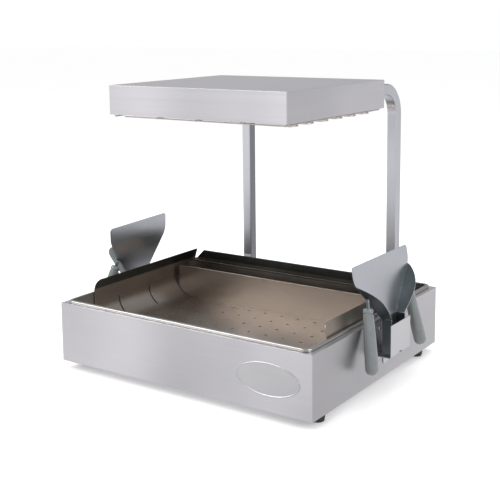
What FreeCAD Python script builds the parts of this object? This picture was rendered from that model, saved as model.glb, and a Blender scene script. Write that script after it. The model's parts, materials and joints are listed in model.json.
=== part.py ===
import FreeCAD, Part
import math
import os

# Countertop chip warmer: a heated base with a lift-out pan, a slotted bin for loose chips, a carton rack,
# two scoops hung at the sides and an overhead heat hood on two bent square posts.
# Lengths are millimetres. Everything is built with x from the middle, y from the front face of the base
# and z from the underside of the base, and is moved once to the part's own origin when it is written.

os.makedirs("parts", exist_ok=True)
V = FreeCAD.Vector
AXIS_X = V(1, 0, 0)
AXIS_Y = V(0, 1, 0)
AXIS_Z = V(0, 0, 1)
QUARTER_TURN = 90.0

# Shared
overrun = 5.0
sheet = 1.2
case_sheet = 1.5
slip = 0.3

# Base case
base_width = 660.0
base_depth = 570.0
base_height = 134.0
base_edge_radius = 2.0
bottom_flange = 44.0
floor_overlap = 10.0
floor_vent_count = 7
floor_vent_length = 90.0
floor_vent_width = 5.0
floor_vent_pitch = 16.0
rear_vent_count = 9
rear_vent_height = 34.0
rear_vent_width = 4.0
rear_vent_pitch = 11.0
rear_vent_centre_x = 130.0
rear_vent_centre_z = 74.0
floor_screw_radius = 2.0
floor_screw_head_radius = 3.8
floor_screw_head_height = 1.8
floor_screw_length = 8.0
floor_screw_end_inset = 90.0

# Feet
foot_height = 20.0
foot_radius = 16.0
foot_base_radius = 14.0
foot_inset_x = 23.0
foot_inset_y = 58.0
foot_screw_radius = 2.5
foot_screw_head_radius = 5.0
foot_screw_head_height = 3.5
foot_recess_radius = 6.5
foot_recess_depth = 11.0
foot_nut_radius = 5.0
foot_nut_height = 4.0

# Pan that rests on its rolled rim
rim_inset_side = 11.5
rim_inset_front = 7.0
rim_inset_rear = 3.5
rim_width = 7.0
rim_height = 6.5
rim_edge_radius = 3.0
rim_foot_radius = 2.0
rim_corner_radius = 16.0
pan_floor_rise = 59.0
pan_floor_radius = 9.0
pan_opening_clearance = 1.3

# Bin: one folded trough with curved sides and inward leaning lips
bin_side_clearance = 1.2
bin_front = 88.5
bin_rear_gap = 96.5
bin_floor_rise = 4.0
bin_curve_radius = 50.0
bin_crease_height = 11.3
bin_lip_height = 23.3
bin_lip_lean = 7.2
bin_lip_corner = 15.0
bin_slot_width = 4.0
bin_slot_shares = (0.2187, 0.5057, 0.7927)
bin_slot_bottom = 6.0
drain_radius = 3.0
drain_pitch_x = 46.0
drain_pitch_y = 46.0
drain_margin = 40.0
bin_foot_width = 14.0
bin_foot_end_inset = 60.0

# Divider that drops into a pair of slots
divider_sheet = 1.5
divider_side_gap = 9.0
divider_top_drop = 27.0
divider_corner_rise = 8.0
divider_hem_height = 8.0
divider_hem_thickness = 3.6
divider_corner_radius = 4.0

# Carton rack behind the divider
rack_depth = 41.1
rack_front_top_drop = 18.0
rack_back_top_drop = 1.5
rack_floor_rise = 23.0
rack_corner_cut = 20.0
rack_hem_height = 6.0

# Heated deck under the pan
heat_plate_gap = 2.0
heat_plate_sheet = 2.0
heat_plate_side_margin = 34.0
heat_plate_end_margin = 40.0
blanket_thickness = 3.0
blanket_margin = 42.0
rail_width = 24.0
insulation_thickness = 24.0
insulation_margin = 20.0

# Badge
badge_from_side = 102.5
badge_centre_z = 66.0
badge_half_width = 74.5
badge_half_height = 34.5
badge_proud = 1.5
badge_border = 3.5
badge_recess = 0.8

# Rear controls
control_plate_width = 176.0
control_plate_height = 60.0
control_plate_sheet = 1.5
control_plate_centre_x = -60.0
control_plate_centre_z = 38.0
control_plate_corner = 5.0
plate_screw_radius = 1.8
plate_screw_head_radius = 3.6
plate_screw_head_height = 2.0
plate_screw_inset = 6.0
knob_offset_x = -42.0
knob_radius = 20.0
knob_top_radius = 17.5
knob_height = 18.0
knob_gap = 0.8
knob_bore_depth = 12.0
knob_pointer_width = 3.0
knob_pointer_height = 1.6
knob_edge_radius = 1.8
shaft_radius = 3.0
shaft_clearance = 0.05
shaft_hole_clearance = 1.0
thermostat_width = 46.0
thermostat_depth = 30.0
thermostat_height = 34.0
shaft_socket_depth = 12.0
switch_offset_x = 40.0
switch_width = 30.0
switch_height = 22.0
switch_body_depth = 26.0
switch_bezel = 2.5
switch_bezel_proud = 2.0
rocker_gap = 0.6
rocker_depth = 9.0
rocker_proud = 4.0
rocker_tilt = 9.0
rocker_belly_share = 0.5
rocker_pin_radius = 1.2
rocker_pin_reach = 1.4
gland_centre_x = 60.0
gland_centre_z = 38.0
gland_radius = 9.0
gland_flange_radius = 13.0
gland_flange_depth = 4.0
gland_length = 16.0
gland_bore_radius = 5.0
gland_nut_depth = 6.0
terminal_width = 62.0
terminal_depth = 22.0
terminal_height = 24.0
terminal_way_count = 5
terminal_way_radius = 2.6
terminal_way_depth = 7.0
terminal_from_rear = 70.0

# Posts
post_size = 25.4
post_wall = 1.6
post_corner_radius = 3.0
post_hood_gap = 6.1
post_bend_radius = 64.0
post_foot_rise = 8.0
post_under_hood_top = 11.3
post_reach_in_hood = 66.0
post_bolt_radius = 3.0
post_bolt_head_radius = 6.0
post_bolt_head_height = 4.0
post_bolt_low = 32.0
post_bolt_top_drop = 26.0
post_plug_flange = 2.0
post_plug_depth = 14.0
nut_bar_width = 34.0
nut_bar_end = 14.0
nut_bar_thickness = 4.0

# Heat hood
hood_width = 459.0
hood_depth = 417.0
hood_height = 64.0
hood_rear_gap = 80.0
hood_rise = 425.0
hood_hem = 12.0
hood_edge_radius = 1.6
hood_post_clearance = 0.4
cross_bar_width = 34.0
cross_bar_height = 14.0
cross_bar_from_rear = 46.0
cross_bar_bolt_radius = 3.0
cross_bar_nut_radius = 5.5
cross_bar_nut_height = 4.0
reflector_side_gap = 16.0
reflector_rear_gap = 70.0
reflector_drop = 14.0
reflector_flare = 26.0
reflector_lift = 6.0
reflector_sheet = 1.0
reflector_lip = 9.0
element_radius = 4.0
element_count = 2
element_drop = 16.0
element_end_gap = 22.0
sleeve_radius = 6.5
sleeve_length = 18.0
element_clip_width = 10.0
element_clip_wall = 1.5
hood_blanket_thickness = 10.0
hood_blanket_margin = 12.0
hood_terminal_width = 48.0
hood_terminal_depth = 18.0
hood_terminal_height = 16.0

# Wire guard under the hood
guard_wire_radius = 1.5
guard_drop = 8.0
guard_run_pitch = 30.0
guard_run_count = 13
guard_side_inset = 5.0
guard_cross_shares = (-0.477, -0.225, 0.0, 0.245, 0.477)
guard_pin_inset = 6.0
guard_pin_bend = 2.5
push_nut_radius = 4.0
push_nut_thickness = 1.0

# Scoop holders
holder_width = 93.0
holder_height = 70.6
holder_bottom = 56.7
holder_standoff = 35.6
holder_bend_radius = 4.0
holder_centre_right = 306.0
holder_centre_left = 279.5
holder_tab_width = 24.0
holder_tab_length = 28.0
holder_tab_radius = 6.0
holder_drain_width = 12.0
holder_drain_height = 5.0
holder_screw_radius = 2.2
holder_screw_head_radius = 4.5
holder_screw_head_height = 2.4
holder_screw_length = 9.0
holder_screw_spread = 60.0
holder_screw_drop = 14.0

# Scoops
scoop_sheet = 1.2
scoop_chute_standoff = 10.3
scoop_bend_rise = 78.0
scoop_chute_depth = 22.0
scoop_mouth_corner = 11.0
right_scoop_centre = 301.0
right_scoop_lean = 9.9
right_neck_half_width = 32.0
right_mouth_half_width = 127.5
right_shoulder_rise = 171.5
right_mouth_rise = 206.0
right_wing_depth = 30.0
right_wing_peak_share = 0.46
left_scoop_centre = 275.5
left_scoop_lean = 8.0
left_neck_half_width = 31.0
left_shoulder_front_reach = 108.5
left_shoulder_rear_reach = 96.5
left_mouth_front_reach = 114.5
left_mouth_rear_reach = 91.0
left_shoulder_rise = 177.0
left_mouth_front_rise = 216.5
left_mouth_rear_rise = 223.0
left_wing_depth = 26.0
left_wing_peak_share = 0.7
wing_start_share = 0.95
grip_top_radius = 11.0
grip_bottom_radius = 14.0
grip_top_rise = 117.5
grip_bottom_rise = -1.5
grip_top_out = -1.5
grip_bottom_out = 19.5
right_grip_top_spread = 94.5
right_grip_bottom_spread = 115.5
left_grip_top_spread = 78.5
left_grip_bottom_spread = 118.5
tang_radius = 4.0
tang_in_grip = 30.0

# Places that follow from the sizes above
half_width = base_width / 2
badge_centre_x = half_width - badge_from_side
post_pitch = hood_width - 2 * (sheet + post_hood_gap) - post_size
origin_shift = V(0, -(base_depth + post_size + post_bolt_head_height - badge_proud) / 2, foot_height)
pan_wall_side = half_width - rim_inset_side - rim_width
pan_wall_front = rim_inset_front + rim_width
pan_wall_rear = base_depth - rim_inset_rear - rim_width
pan_depth = base_height - pan_floor_rise
bin_half = pan_wall_side - bin_side_clearance - sheet
bin_floor = pan_floor_rise + bin_floor_rise
bin_curve_top = bin_floor + bin_curve_radius
bin_crease = base_height + bin_crease_height
bin_top = bin_crease + bin_lip_height
bin_rear = base_depth - bin_rear_gap
bin_length = bin_rear - bin_front
divider_y = bin_front + bin_slot_shares[-1] * bin_length
insert_half = bin_half - divider_side_gap
hood_bottom = base_height + hood_rise
hood_top = hood_bottom + hood_height
hood_rear = base_depth - hood_rear_gap
hood_setback = hood_rear - hood_depth
post_bolt_high = base_height - post_bolt_top_drop
nut_bar_length = post_bolt_high - post_bolt_low + 2 * nut_bar_end
post_centre_y = base_depth + post_size / 2
post_run_z = hood_top - post_under_hood_top - post_size / 2
guard_z = hood_bottom - guard_drop + guard_wire_radius


def box(x_low, y_low, z_low, x_size, y_size, z_size):
    """A block from its lowest corner and its sizes."""
    return Part.makeBox(x_size, y_size, z_size, V(x_low, y_low, z_low))


def rod(radius, length, start, direction):
    """A round bar from a start point along a direction."""
    return Part.makeCylinder(radius, length, start, direction)


def rounded_block(x_low, y_low, z_low, x_size, y_size, z_size, radius):
    """A block whose four upright edges are rounded."""
    block = box(x_low, y_low, z_low, x_size, y_size, z_size)
    upright = [edge for edge in block.Edges if runs_along(edge, AXIS_Z)]
    return block.makeFillet(radius, upright)


def runs_along(edge, axis):
    """True if a straight edge runs along an axis."""
    if edge.Curve.TypeId != "Part::GeomLine":
        return False
    step = edge.Vertexes[-1].Point - edge.Vertexes[0].Point
    return step.cross(axis).Length < step.Length / base_width


def prism(points, step):
    """A flat polygon pushed along a vector."""
    return Part.Face(Part.makePolygon(points + [points[0]])).extrude(step)


def mirrored(shape):
    """The same shape on the other side of the middle plane."""
    return shape.mirror(V(0, 0, 0), AXIS_X)


def fused(shapes):
    """One clean solid from several that touch."""
    whole = shapes[0].fuse(shapes[1:]) if len(shapes) > 1 else shapes[0]
    return whole.removeSplitter()


def write(name, shape):
    """Moves a finished piece to the part's origin and writes it."""
    placed = shape.copy()
    placed.translate(origin_shift)
    placed.exportStep("parts/" + name + ".step")
    print(name, len(placed.Solids), placed.isValid(), round(placed.Volume / 1000.0, 2))


def foot_places():
    """Centres of the four feet."""
    x_place = half_width - foot_inset_x
    return [(x, y) for x in (-x_place, x_place) for y in (foot_inset_y, base_depth - foot_inset_y)]


def floor_screw_places():
    """Centres of the screws that hold the floor panel to the flange."""
    x_edge = half_width - bottom_flange + floor_overlap / 2
    y_front = bottom_flange - floor_overlap / 2
    y_rear = base_depth - y_front
    x_end = half_width - floor_screw_end_inset
    y_end = floor_screw_end_inset
    places = [(side * x_edge, y) for side in (-1, 1) for y in (y_end, base_depth - y_end)]
    places += [(x, y) for x in (-x_end, x_end) for y in (y_front, y_rear)]
    return places


def plate_screw_places():
    """Centres of the control plate's corner screws, as x and z."""
    x_reach = control_plate_width / 2 - plate_screw_inset
    z_reach = control_plate_height / 2 - plate_screw_inset
    return [
        (control_plate_centre_x + x, control_plate_centre_z + z)
        for x in (-x_reach, x_reach)
        for z in (-z_reach, z_reach)
    ]


def holder_screw_places(centre_y):
    """Centres of one holder's three screws, as y and z."""
    high = holder_bottom + holder_height - holder_screw_drop
    low = holder_bottom - holder_tab_length / 2
    return [
        (centre_y - holder_screw_spread / 2, high),
        (centre_y + holder_screw_spread / 2, high),
        (centre_y, low),
    ]


def post_bolt_places():
    """Centres of the bolts that hold the posts to the rear wall, as x and z."""
    return [(x, z) for x in (-post_pitch / 2, post_pitch / 2) for z in (post_bolt_low, post_bolt_high)]


def base_shell():
    """Outer case: four walls, a narrow top deck round the pan and an in-turned bottom flange."""
    outer = rounded_block(-half_width, 0, 0, base_width, base_depth, base_height, base_edge_radius)
    inner = box(
        -half_width + case_sheet,
        case_sheet,
        case_sheet,
        base_width - 2 * case_sheet,
        base_depth - 2 * case_sheet,
        base_height - 2 * case_sheet,
    )
    shell = outer.cut(inner)
    side = pan_wall_side + sheet + pan_opening_clearance
    front = pan_wall_front - sheet - pan_opening_clearance
    rear = pan_wall_rear + sheet + pan_opening_clearance
    opening_radius = rim_corner_radius - rim_width + sheet + pan_opening_clearance
    opening = rounded_block(
        -side, front, base_height - case_sheet - overrun,
        2 * side, rear - front, case_sheet + 2 * overrun, opening_radius,
    )
    shell = shell.cut(opening)
    floor_opening = box(
        -half_width + bottom_flange, bottom_flange, -overrun,
        base_width - 2 * bottom_flange, base_depth - 2 * bottom_flange, case_sheet + 2 * overrun,
    )
    shell = shell.cut(floor_opening)
    cuts = []
    depth = case_sheet + 2 * overrun
    wall_start = base_depth - case_sheet - overrun
    for x, y in foot_places():
        cuts.append(rod(foot_screw_radius, depth, V(x, y, -overrun), AXIS_Z))
    for x, y in floor_screw_places():
        cuts.append(rod(floor_screw_radius, depth, V(x, y, -overrun), AXIS_Z))
    for x, z in post_bolt_places():
        cuts.append(rod(post_bolt_radius, depth, V(x, wall_start, z), AXIS_Y))
    for x, z in plate_screw_places():
        cuts.append(rod(plate_screw_radius, depth, V(x, wall_start, z), AXIS_Y))
    for sign, centre in ((1, holder_centre_right), (-1, holder_centre_left)):
        for y, z in holder_screw_places(centre):
            start = V(sign * (half_width - case_sheet - overrun), y, z)
            cuts.append(rod(holder_screw_radius, depth, start, AXIS_X * sign))
    cuts.append(control_cut(depth, wall_start))
    cuts.append(rod(gland_radius, depth, V(gland_centre_x, wall_start, gland_centre_z), AXIS_Y))
    first = rear_vent_centre_x - (rear_vent_count - 1) * rear_vent_pitch / 2 - rear_vent_width / 2
    for index in range(rear_vent_count):
        cuts.append(box(
            first + index * rear_vent_pitch, wall_start, rear_vent_centre_z - rear_vent_height / 2,
            rear_vent_width, depth, rear_vent_height,
        ))
    return shell.cut(cuts)


def control_cut(depth, start):
    """Window in the rear wall behind the control plate, for the switch and the thermostat."""
    reach = control_plate_width / 2 - 2 * plate_screw_inset
    rise = control_plate_height / 2 - 2 * plate_screw_inset
    return box(control_plate_centre_x - reach, start, control_plate_centre_z - rise, 2 * reach, depth, 2 * rise)


def floor_panel():
    """Screwed floor panel with two rows of vent slots."""
    side = half_width - bottom_flange + floor_overlap
    front = bottom_flange - floor_overlap
    panel = box(-side, front, case_sheet, 2 * side, base_depth - 2 * front, case_sheet)
    cuts = []
    depth = case_sheet + 2 * overrun
    for x, y in floor_screw_places():
        cuts.append(rod(floor_screw_radius, depth, V(x, y, case_sheet - overrun), AXIS_Z))
    for row in (-1, 1):
        for index in range(floor_vent_count):
            offset = (index - (floor_vent_count - 1) / 2) * floor_vent_pitch
            cuts.append(box(
                row * floor_vent_length - floor_vent_length / 2,
                base_depth / 2 + offset - floor_vent_width / 2,
                case_sheet - overrun,
                floor_vent_length, floor_vent_width, depth,
            ))
    return panel.cut(cuts)


def floor_screws():
    """Screws up through the flange into the floor panel."""
    screws = []
    for x, y in floor_screw_places():
        head = rod(floor_screw_head_radius, floor_screw_head_height, V(x, y, -floor_screw_head_height), AXIS_Z)
        stem = rod(floor_screw_radius, floor_screw_length, V(x, y, 0), AXIS_Z)
        screws.append(fused([head, stem]))
    return Part.makeCompound(screws)


def feet():
    """Four tapered rubber feet with a recess for the screw head."""
    solids = []
    for x, y in foot_places():
        foot = Part.makeCone(foot_base_radius, foot_radius, foot_height, V(x, y, -foot_height), AXIS_Z)
        recess = rod(foot_recess_radius, foot_recess_depth, V(x, y, -foot_height), AXIS_Z)
        hole = rod(foot_screw_radius, foot_height + 2 * overrun, V(x, y, -foot_height - overrun), AXIS_Z)
        solids.append(foot.cut(recess).cut(hole))
    return Part.makeCompound(solids)


def foot_screws():
    """Screws up through the feet and the flange."""
    screws = []
    seat = foot_recess_depth - foot_height
    length = case_sheet + foot_nut_height - seat
    for x, y in foot_places():
        head = rod(foot_screw_head_radius, foot_screw_head_height, V(x, y, seat - foot_screw_head_height), AXIS_Z)
        stem = rod(foot_screw_radius, length, V(x, y, seat), AXIS_Z)
        screws.append(fused([head, stem]))
    return Part.makeCompound(screws)


def hex_nut(radius, height, hole_radius, centre, direction):
    """Hexagonal nut with a plain bore, seated at its centre point."""
    points = []
    turn = FreeCAD.Rotation(AXIS_Z, direction)
    for index in range(6):
        angle = math.radians(60.0 * index)
        points.append(centre + turn.multVec(V(radius * math.cos(angle), radius * math.sin(angle), 0)))
    nut = prism(points, direction * height)
    return nut.cut(rod(hole_radius, height + 2 * overrun, centre - direction * overrun, direction))


def foot_nuts():
    """Nuts on the foot screws, inside the flange."""
    return Part.makeCompound([
        hex_nut(foot_nut_radius, foot_nut_height, foot_screw_radius, V(x, y, case_sheet), AXIS_Z)
        for x, y in foot_places()
    ])


def hot_pan():
    """Drawn pan with rounded floor edges that hangs in the base on its rolled rim."""
    corner = rim_corner_radius - rim_width
    side = pan_wall_side
    length = pan_wall_rear - pan_wall_front
    inner = rounded_block(-side, pan_wall_front, pan_floor_rise, 2 * side, length, pan_depth + rim_height, corner)
    outer = rounded_block(
        -side - sheet, pan_wall_front - sheet, pan_floor_rise - sheet,
        2 * (side + sheet), length + 2 * sheet, pan_depth + rim_height / 2 + sheet, corner + sheet,
    )
    inner = inner.makeFillet(pan_floor_radius - sheet, low_edges(inner))
    outer = outer.makeFillet(pan_floor_radius, low_edges(outer))
    rim_outer = rounded_block(
        -side - rim_width, pan_wall_front - rim_width, base_height,
        2 * (side + rim_width), length + 2 * rim_width, rim_height, rim_corner_radius,
    )
    rim_outer = rim_outer.makeFillet(rim_edge_radius, high_edges(rim_outer))
    rim_outer = rim_outer.makeFillet(rim_foot_radius, low_edges(rim_outer))
    whole = outer.fuse(rim_outer).cut(inner)
    return whole.removeSplitter()


def low_edges(block):
    """Edges round the lowest face."""
    return level_edges(block, block.BoundBox.ZMin)


def high_edges(block):
    """Edges round the highest face."""
    return level_edges(block, block.BoundBox.ZMax)


def level_edges(block, height):
    """Edges that lie flat at one height."""
    near = slip / 10
    return [
        edge for edge in block.Edges
        if abs(edge.BoundBox.ZMin - height) < near and abs(edge.BoundBox.ZMax - height) < near
    ]


def bin_profile(grow):
    """Right half of the trough's face line, from the middle of the floor to the lip, set out by grow."""
    low = bin_floor - grow
    centre = V(bin_half - bin_curve_radius, 0, bin_curve_top)
    radius = bin_curve_radius + grow
    half = radius * math.sqrt(0.5)
    lean = math.atan2(bin_lip_lean, bin_lip_height)
    crease = V(bin_half + grow, 0, bin_crease + grow * math.tan(lean / 2))
    tip = V(bin_half - bin_lip_lean + grow * math.cos(lean), 0, bin_top + grow * math.sin(lean))
    return [
        Part.LineSegment(V(0, 0, low), V(centre.x, 0, low)).toShape(),
        Part.Arc(
            V(centre.x, 0, low), V(centre.x + half, 0, centre.z - half), V(centre.x + radius, 0, centre.z),
        ).toShape(),
        Part.LineSegment(V(centre.x + radius, 0, centre.z), crease).toShape(),
        Part.LineSegment(crease, tip).toShape(),
    ], tip


def bin_trough():
    """Folded trough: drained floor, curved slotted sides and lips with rounded front corners."""
    inside, inside_tip = bin_profile(0)
    outside, outside_tip = bin_profile(sheet)
    close_top = Part.LineSegment(inside_tip, outside_tip).toShape()
    close_low = Part.LineSegment(V(0, 0, bin_floor - sheet), V(0, 0, bin_floor)).toShape()
    edges = Part.__sortEdges__(inside + outside + [close_top, close_low])
    half = Part.Face(Part.Wire(edges)).extrude(V(0, bin_length, 0))
    half.translate(V(0, bin_front, 0))
    corner_low = V(bin_half - bin_lip_lean - sheet, bin_front, bin_top - bin_lip_corner)
    corner = box(
        corner_low.x, bin_front - overrun, corner_low.z,
        bin_lip_lean + 3 * sheet, bin_lip_corner + overrun, bin_lip_corner + sheet,
    )
    round_off = rod(
        bin_lip_corner, bin_lip_lean + 3 * sheet,
        V(corner_low.x, bin_front + bin_lip_corner, corner_low.z), AXIS_X,
    )
    half = half.cut(corner.cut(round_off))
    slots = []
    for share in bin_slot_shares:
        y = bin_front + share * bin_length - bin_slot_width / 2
        slots.append(box(
            bin_half - bin_curve_radius / 2 - divider_side_gap, y, bin_floor + bin_slot_bottom,
            bin_curve_radius, bin_slot_width, bin_curve_radius - bin_slot_bottom,
        ))
    half = half.cut(slots)
    trough = half.fuse(mirrored(half)).removeSplitter()
    trough = trough.cut(drain_holes())
    reach = bin_half - bin_curve_radius - drain_margin
    strips = [
        box(-reach, y, pan_floor_rise, 2 * reach, bin_foot_width, bin_floor_rise - sheet)
        for y in bin_foot_places()
    ]
    return fused([trough] + strips)


def bin_foot_places():
    """Front edges of the two foot strips under the trough."""
    return [bin_front + bin_foot_end_inset, bin_rear - bin_foot_end_inset - bin_foot_width]


def drain_holes():
    """Grid of drain holes in the flat floor of the trough, clear of the two foot strips."""
    reach_x = bin_half - bin_curve_radius - drain_margin
    count_x = int(2 * reach_x / drain_pitch_x)
    count_y = int((bin_length - 2 * drain_margin) / drain_pitch_y)
    first_y = bin_front + (bin_length - count_y * drain_pitch_y) / 2
    holes = []
    for column in range(count_x + 1):
        x = (column - count_x / 2) * drain_pitch_x
        for row in range(count_y + 1):
            y = first_y + row * drain_pitch_y
            if not over_strip(y):
                holes.append(rod(drain_radius, sheet + 2 * overrun, V(x, y, bin_floor - sheet - overrun), AXIS_Z))
    return holes


def over_strip(y):
    """True if a drain hole at y would open onto a foot strip."""
    reach = bin_foot_width / 2 + drain_radius
    return any(abs(y - strip - bin_foot_width / 2) < reach for strip in bin_foot_places())


def insert_outline(top, corner_cut):
    """Outline in x and z of a plate that stands across the trough with its lower corners in the slots."""
    shoulder = bin_floor + divider_corner_rise
    curve_x = bin_half - bin_curve_radius
    drop = bin_curve_top - shoulder
    slot_x = curve_x + math.sqrt(bin_curve_radius * bin_curve_radius - drop * drop) - 2 * slip
    return [
        V(curve_x, 0, bin_floor),
        V(slot_x, 0, shoulder),
        V(insert_half, 0, shoulder),
        V(insert_half, 0, top - corner_cut),
        V(insert_half - corner_cut, 0, top),
    ]


def insert_plate(y, thickness, top, corner_cut):
    """A plate across the trough, cut to its curve."""
    right = insert_outline(top, corner_cut)
    left = [V(-point.x, 0, point.z) for point in reversed(right)]
    plate = prism(right + left, V(0, thickness, 0))
    plate.translate(V(0, y, 0))
    return plate


def bin_divider():
    """Upright divider with a folded hem along its top edge."""
    top = bin_top - divider_top_drop
    y = divider_y - divider_sheet / 2
    plate = insert_plate(y, divider_sheet, top, divider_corner_radius)
    hem = box(
        -insert_half + divider_corner_radius, y, top - divider_hem_height,
        2 * (insert_half - divider_corner_radius), divider_hem_thickness, divider_hem_height,
    )
    return fused([plate, hem])


def raised_plate(y, thickness, top, corner_cut, foot_z):
    """A plate across the trough that stands on its flat floor and widens above the curve."""
    low_x = bin_half - bin_curve_radius - slip
    right = [
        V(low_x, 0, bin_floor),
        V(low_x, 0, foot_z),
        V(insert_half, 0, foot_z),
        V(insert_half, 0, top - corner_cut),
        V(insert_half - corner_cut, 0, top),
    ]
    left = [V(-point.x, 0, point.z) for point in reversed(right)]
    plate = prism(right + left, V(0, thickness, 0))
    plate.translate(V(0, y, 0))
    return plate


def carton_rack():
    """Channel for cartons: low front wall, shelf and high back wall."""
    back_y = bin_rear - sheet
    front_y = back_y - rack_depth
    shelf_z = bin_floor + rack_floor_rise
    front = raised_plate(front_y, sheet, bin_top - rack_front_top_drop, divider_corner_radius, shelf_z)
    back = raised_plate(back_y, sheet, bin_top - rack_back_top_drop, rack_corner_cut, shelf_z)
    shelf = box(-insert_half, front_y, shelf_z, 2 * insert_half, back_y + sheet - front_y, sheet)
    hem = box(
        -insert_half + divider_corner_radius, front_y, bin_top - rack_front_top_drop - rack_hem_height,
        2 * (insert_half - divider_corner_radius), 2 * sheet, rack_hem_height,
    )
    return fused([front, back, shelf, hem])


def heat_plate():
    """Flat plate just under the pan that spreads the heat."""
    side = pan_wall_side - heat_plate_side_margin
    front = pan_wall_front + heat_plate_end_margin
    length = pan_wall_rear - heat_plate_end_margin - front
    top = pan_floor_rise - sheet - heat_plate_gap
    return box(-side, front, top - heat_plate_sheet, 2 * side, length, heat_plate_sheet)


def blanket_heater():
    """Blanket element bonded under the heat plate, between the two rails."""
    side = pan_wall_side - heat_plate_side_margin - blanket_margin
    front = pan_wall_front + heat_plate_end_margin + blanket_margin
    length = pan_wall_rear - heat_plate_end_margin - blanket_margin - front
    top = pan_floor_rise - sheet - heat_plate_gap - heat_plate_sheet
    return box(-side, front, top - blanket_thickness, 2 * side, length, blanket_thickness)


def support_rails():
    """Two box rails from the floor panel up to the heat plate."""
    top = pan_floor_rise - sheet - heat_plate_gap - heat_plate_sheet
    low = 2 * case_sheet
    front = pan_wall_front + heat_plate_end_margin
    length = pan_wall_rear - heat_plate_end_margin - front
    x = pan_wall_side - heat_plate_side_margin - rail_width
    outer = box(x, front, low, rail_width, length, top - low)
    inner = box(
        x + case_sheet, front - overrun, low + case_sheet,
        rail_width - 2 * case_sheet, length + 2 * overrun, top - low - 2 * case_sheet,
    )
    rail = outer.cut(inner)
    return Part.makeCompound([rail, mirrored(rail)])


def insulation_pad():
    """Insulation pad on the floor panel, between the rails."""
    side = pan_wall_side - heat_plate_side_margin - rail_width - insulation_margin
    front = pan_wall_front + heat_plate_end_margin + insulation_margin
    length = pan_wall_rear - heat_plate_end_margin - insulation_margin - 2 * blanket_margin - front
    return box(-side, front, 2 * case_sheet, 2 * side, length, insulation_thickness)


def badge_plate():
    """Bare oval plate with a raised border, on the front face."""
    plate = oval(badge_half_width, badge_half_height, -badge_proud, badge_proud)
    recess = oval(
        badge_half_width - badge_border, badge_half_height - badge_border,
        -badge_proud - overrun, badge_recess + overrun,
    )
    return plate.cut(recess)


def oval(half_wide, half_tall, y_start, thickness):
    """An oval disc that faces the front."""
    ring = Part.Ellipse(V(0, 0, 0), half_wide, half_tall).toShape()
    disc = Part.Face(Part.Wire([ring])).extrude(V(0, 0, -thickness))
    disc.rotate(V(0, 0, 0), AXIS_X, QUARTER_TURN)
    disc.translate(V(badge_centre_x, y_start, badge_centre_z))
    return disc


def control_plate():
    """Plate on the rear wall that carries the thermostat and the switch."""
    half_w = control_plate_width / 2
    half_h = control_plate_height / 2
    flat = rounded_block(-half_w, -half_h, 0, 2 * half_w, 2 * half_h, control_plate_sheet, control_plate_corner)
    flat.rotate(V(0, 0, 0), AXIS_X, QUARTER_TURN)
    flat.translate(V(control_plate_centre_x, base_depth + control_plate_sheet, control_plate_centre_z))
    depth = control_plate_sheet + 2 * overrun
    start = base_depth - overrun
    knob_x = control_plate_centre_x + knob_offset_x
    cuts = [rod(shaft_radius + shaft_hole_clearance, depth, V(knob_x, start, control_plate_centre_z), AXIS_Y)]
    cuts.append(box(
        control_plate_centre_x + switch_offset_x - switch_width / 2, start,
        control_plate_centre_z - switch_height / 2, switch_width, depth, switch_height,
    ))
    for x, z in plate_screw_places():
        cuts.append(rod(plate_screw_radius, depth, V(x, start, z), AXIS_Y))
    return flat.cut(cuts)


def plate_screws():
    """Corner screws of the control plate."""
    screws = []
    face = base_depth + control_plate_sheet
    for x, z in plate_screw_places():
        head = rod(plate_screw_head_radius, plate_screw_head_height, V(x, face, z), AXIS_Y)
        length = control_plate_sheet + case_sheet + plate_screw_head_height
        stem = rod(plate_screw_radius, length, V(x, face - length, z), AXIS_Y)
        screws.append(fused([head, stem]))
    return Part.makeCompound(screws)


def thermostat_body():
    """Thermostat block behind the control plate, with a socket for its shaft."""
    x = control_plate_centre_x + knob_offset_x
    z = control_plate_centre_z
    block = box(
        x - thermostat_width / 2, base_depth - thermostat_depth, z - thermostat_height / 2,
        thermostat_width, thermostat_depth, thermostat_height,
    )
    start = V(x, base_depth - shaft_socket_depth, z)
    return block.cut(rod(shaft_radius + shaft_clearance, shaft_socket_depth + overrun, start, AXIS_Y))


def thermostat_shaft():
    """Control shaft from its socket to the end of the knob's bore."""
    start = V(control_plate_centre_x + knob_offset_x, base_depth - shaft_socket_depth, control_plate_centre_z)
    length = shaft_socket_depth + control_plate_sheet + knob_gap + knob_bore_depth
    return rod(shaft_radius, length, start, AXIS_Y)


def thermostat_knob():
    """Round knob with a raised pointer."""
    x = control_plate_centre_x + knob_offset_x
    z = control_plate_centre_z
    start = base_depth + control_plate_sheet + knob_gap
    knob = Part.makeCone(knob_radius, knob_top_radius, knob_height, V(x, start, z), AXIS_Y)
    knob = knob.makeFillet(knob_edge_radius, [edge for edge in knob.Edges if is_far_circle(edge, start)])
    bore = rod(shaft_radius, knob_bore_depth + overrun, V(x, start - overrun, z), AXIS_Y)
    pointer = box(
        x - knob_pointer_width / 2, start + knob_height - knob_pointer_height, z,
        knob_pointer_width, 2 * knob_pointer_height, knob_top_radius - knob_edge_radius,
    )
    return fused([knob.cut(bore), pointer])


def is_far_circle(edge, start):
    """True for the round edge on the outer face of the knob."""
    return edge.BoundBox.YMin > start + knob_height - slip


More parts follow.
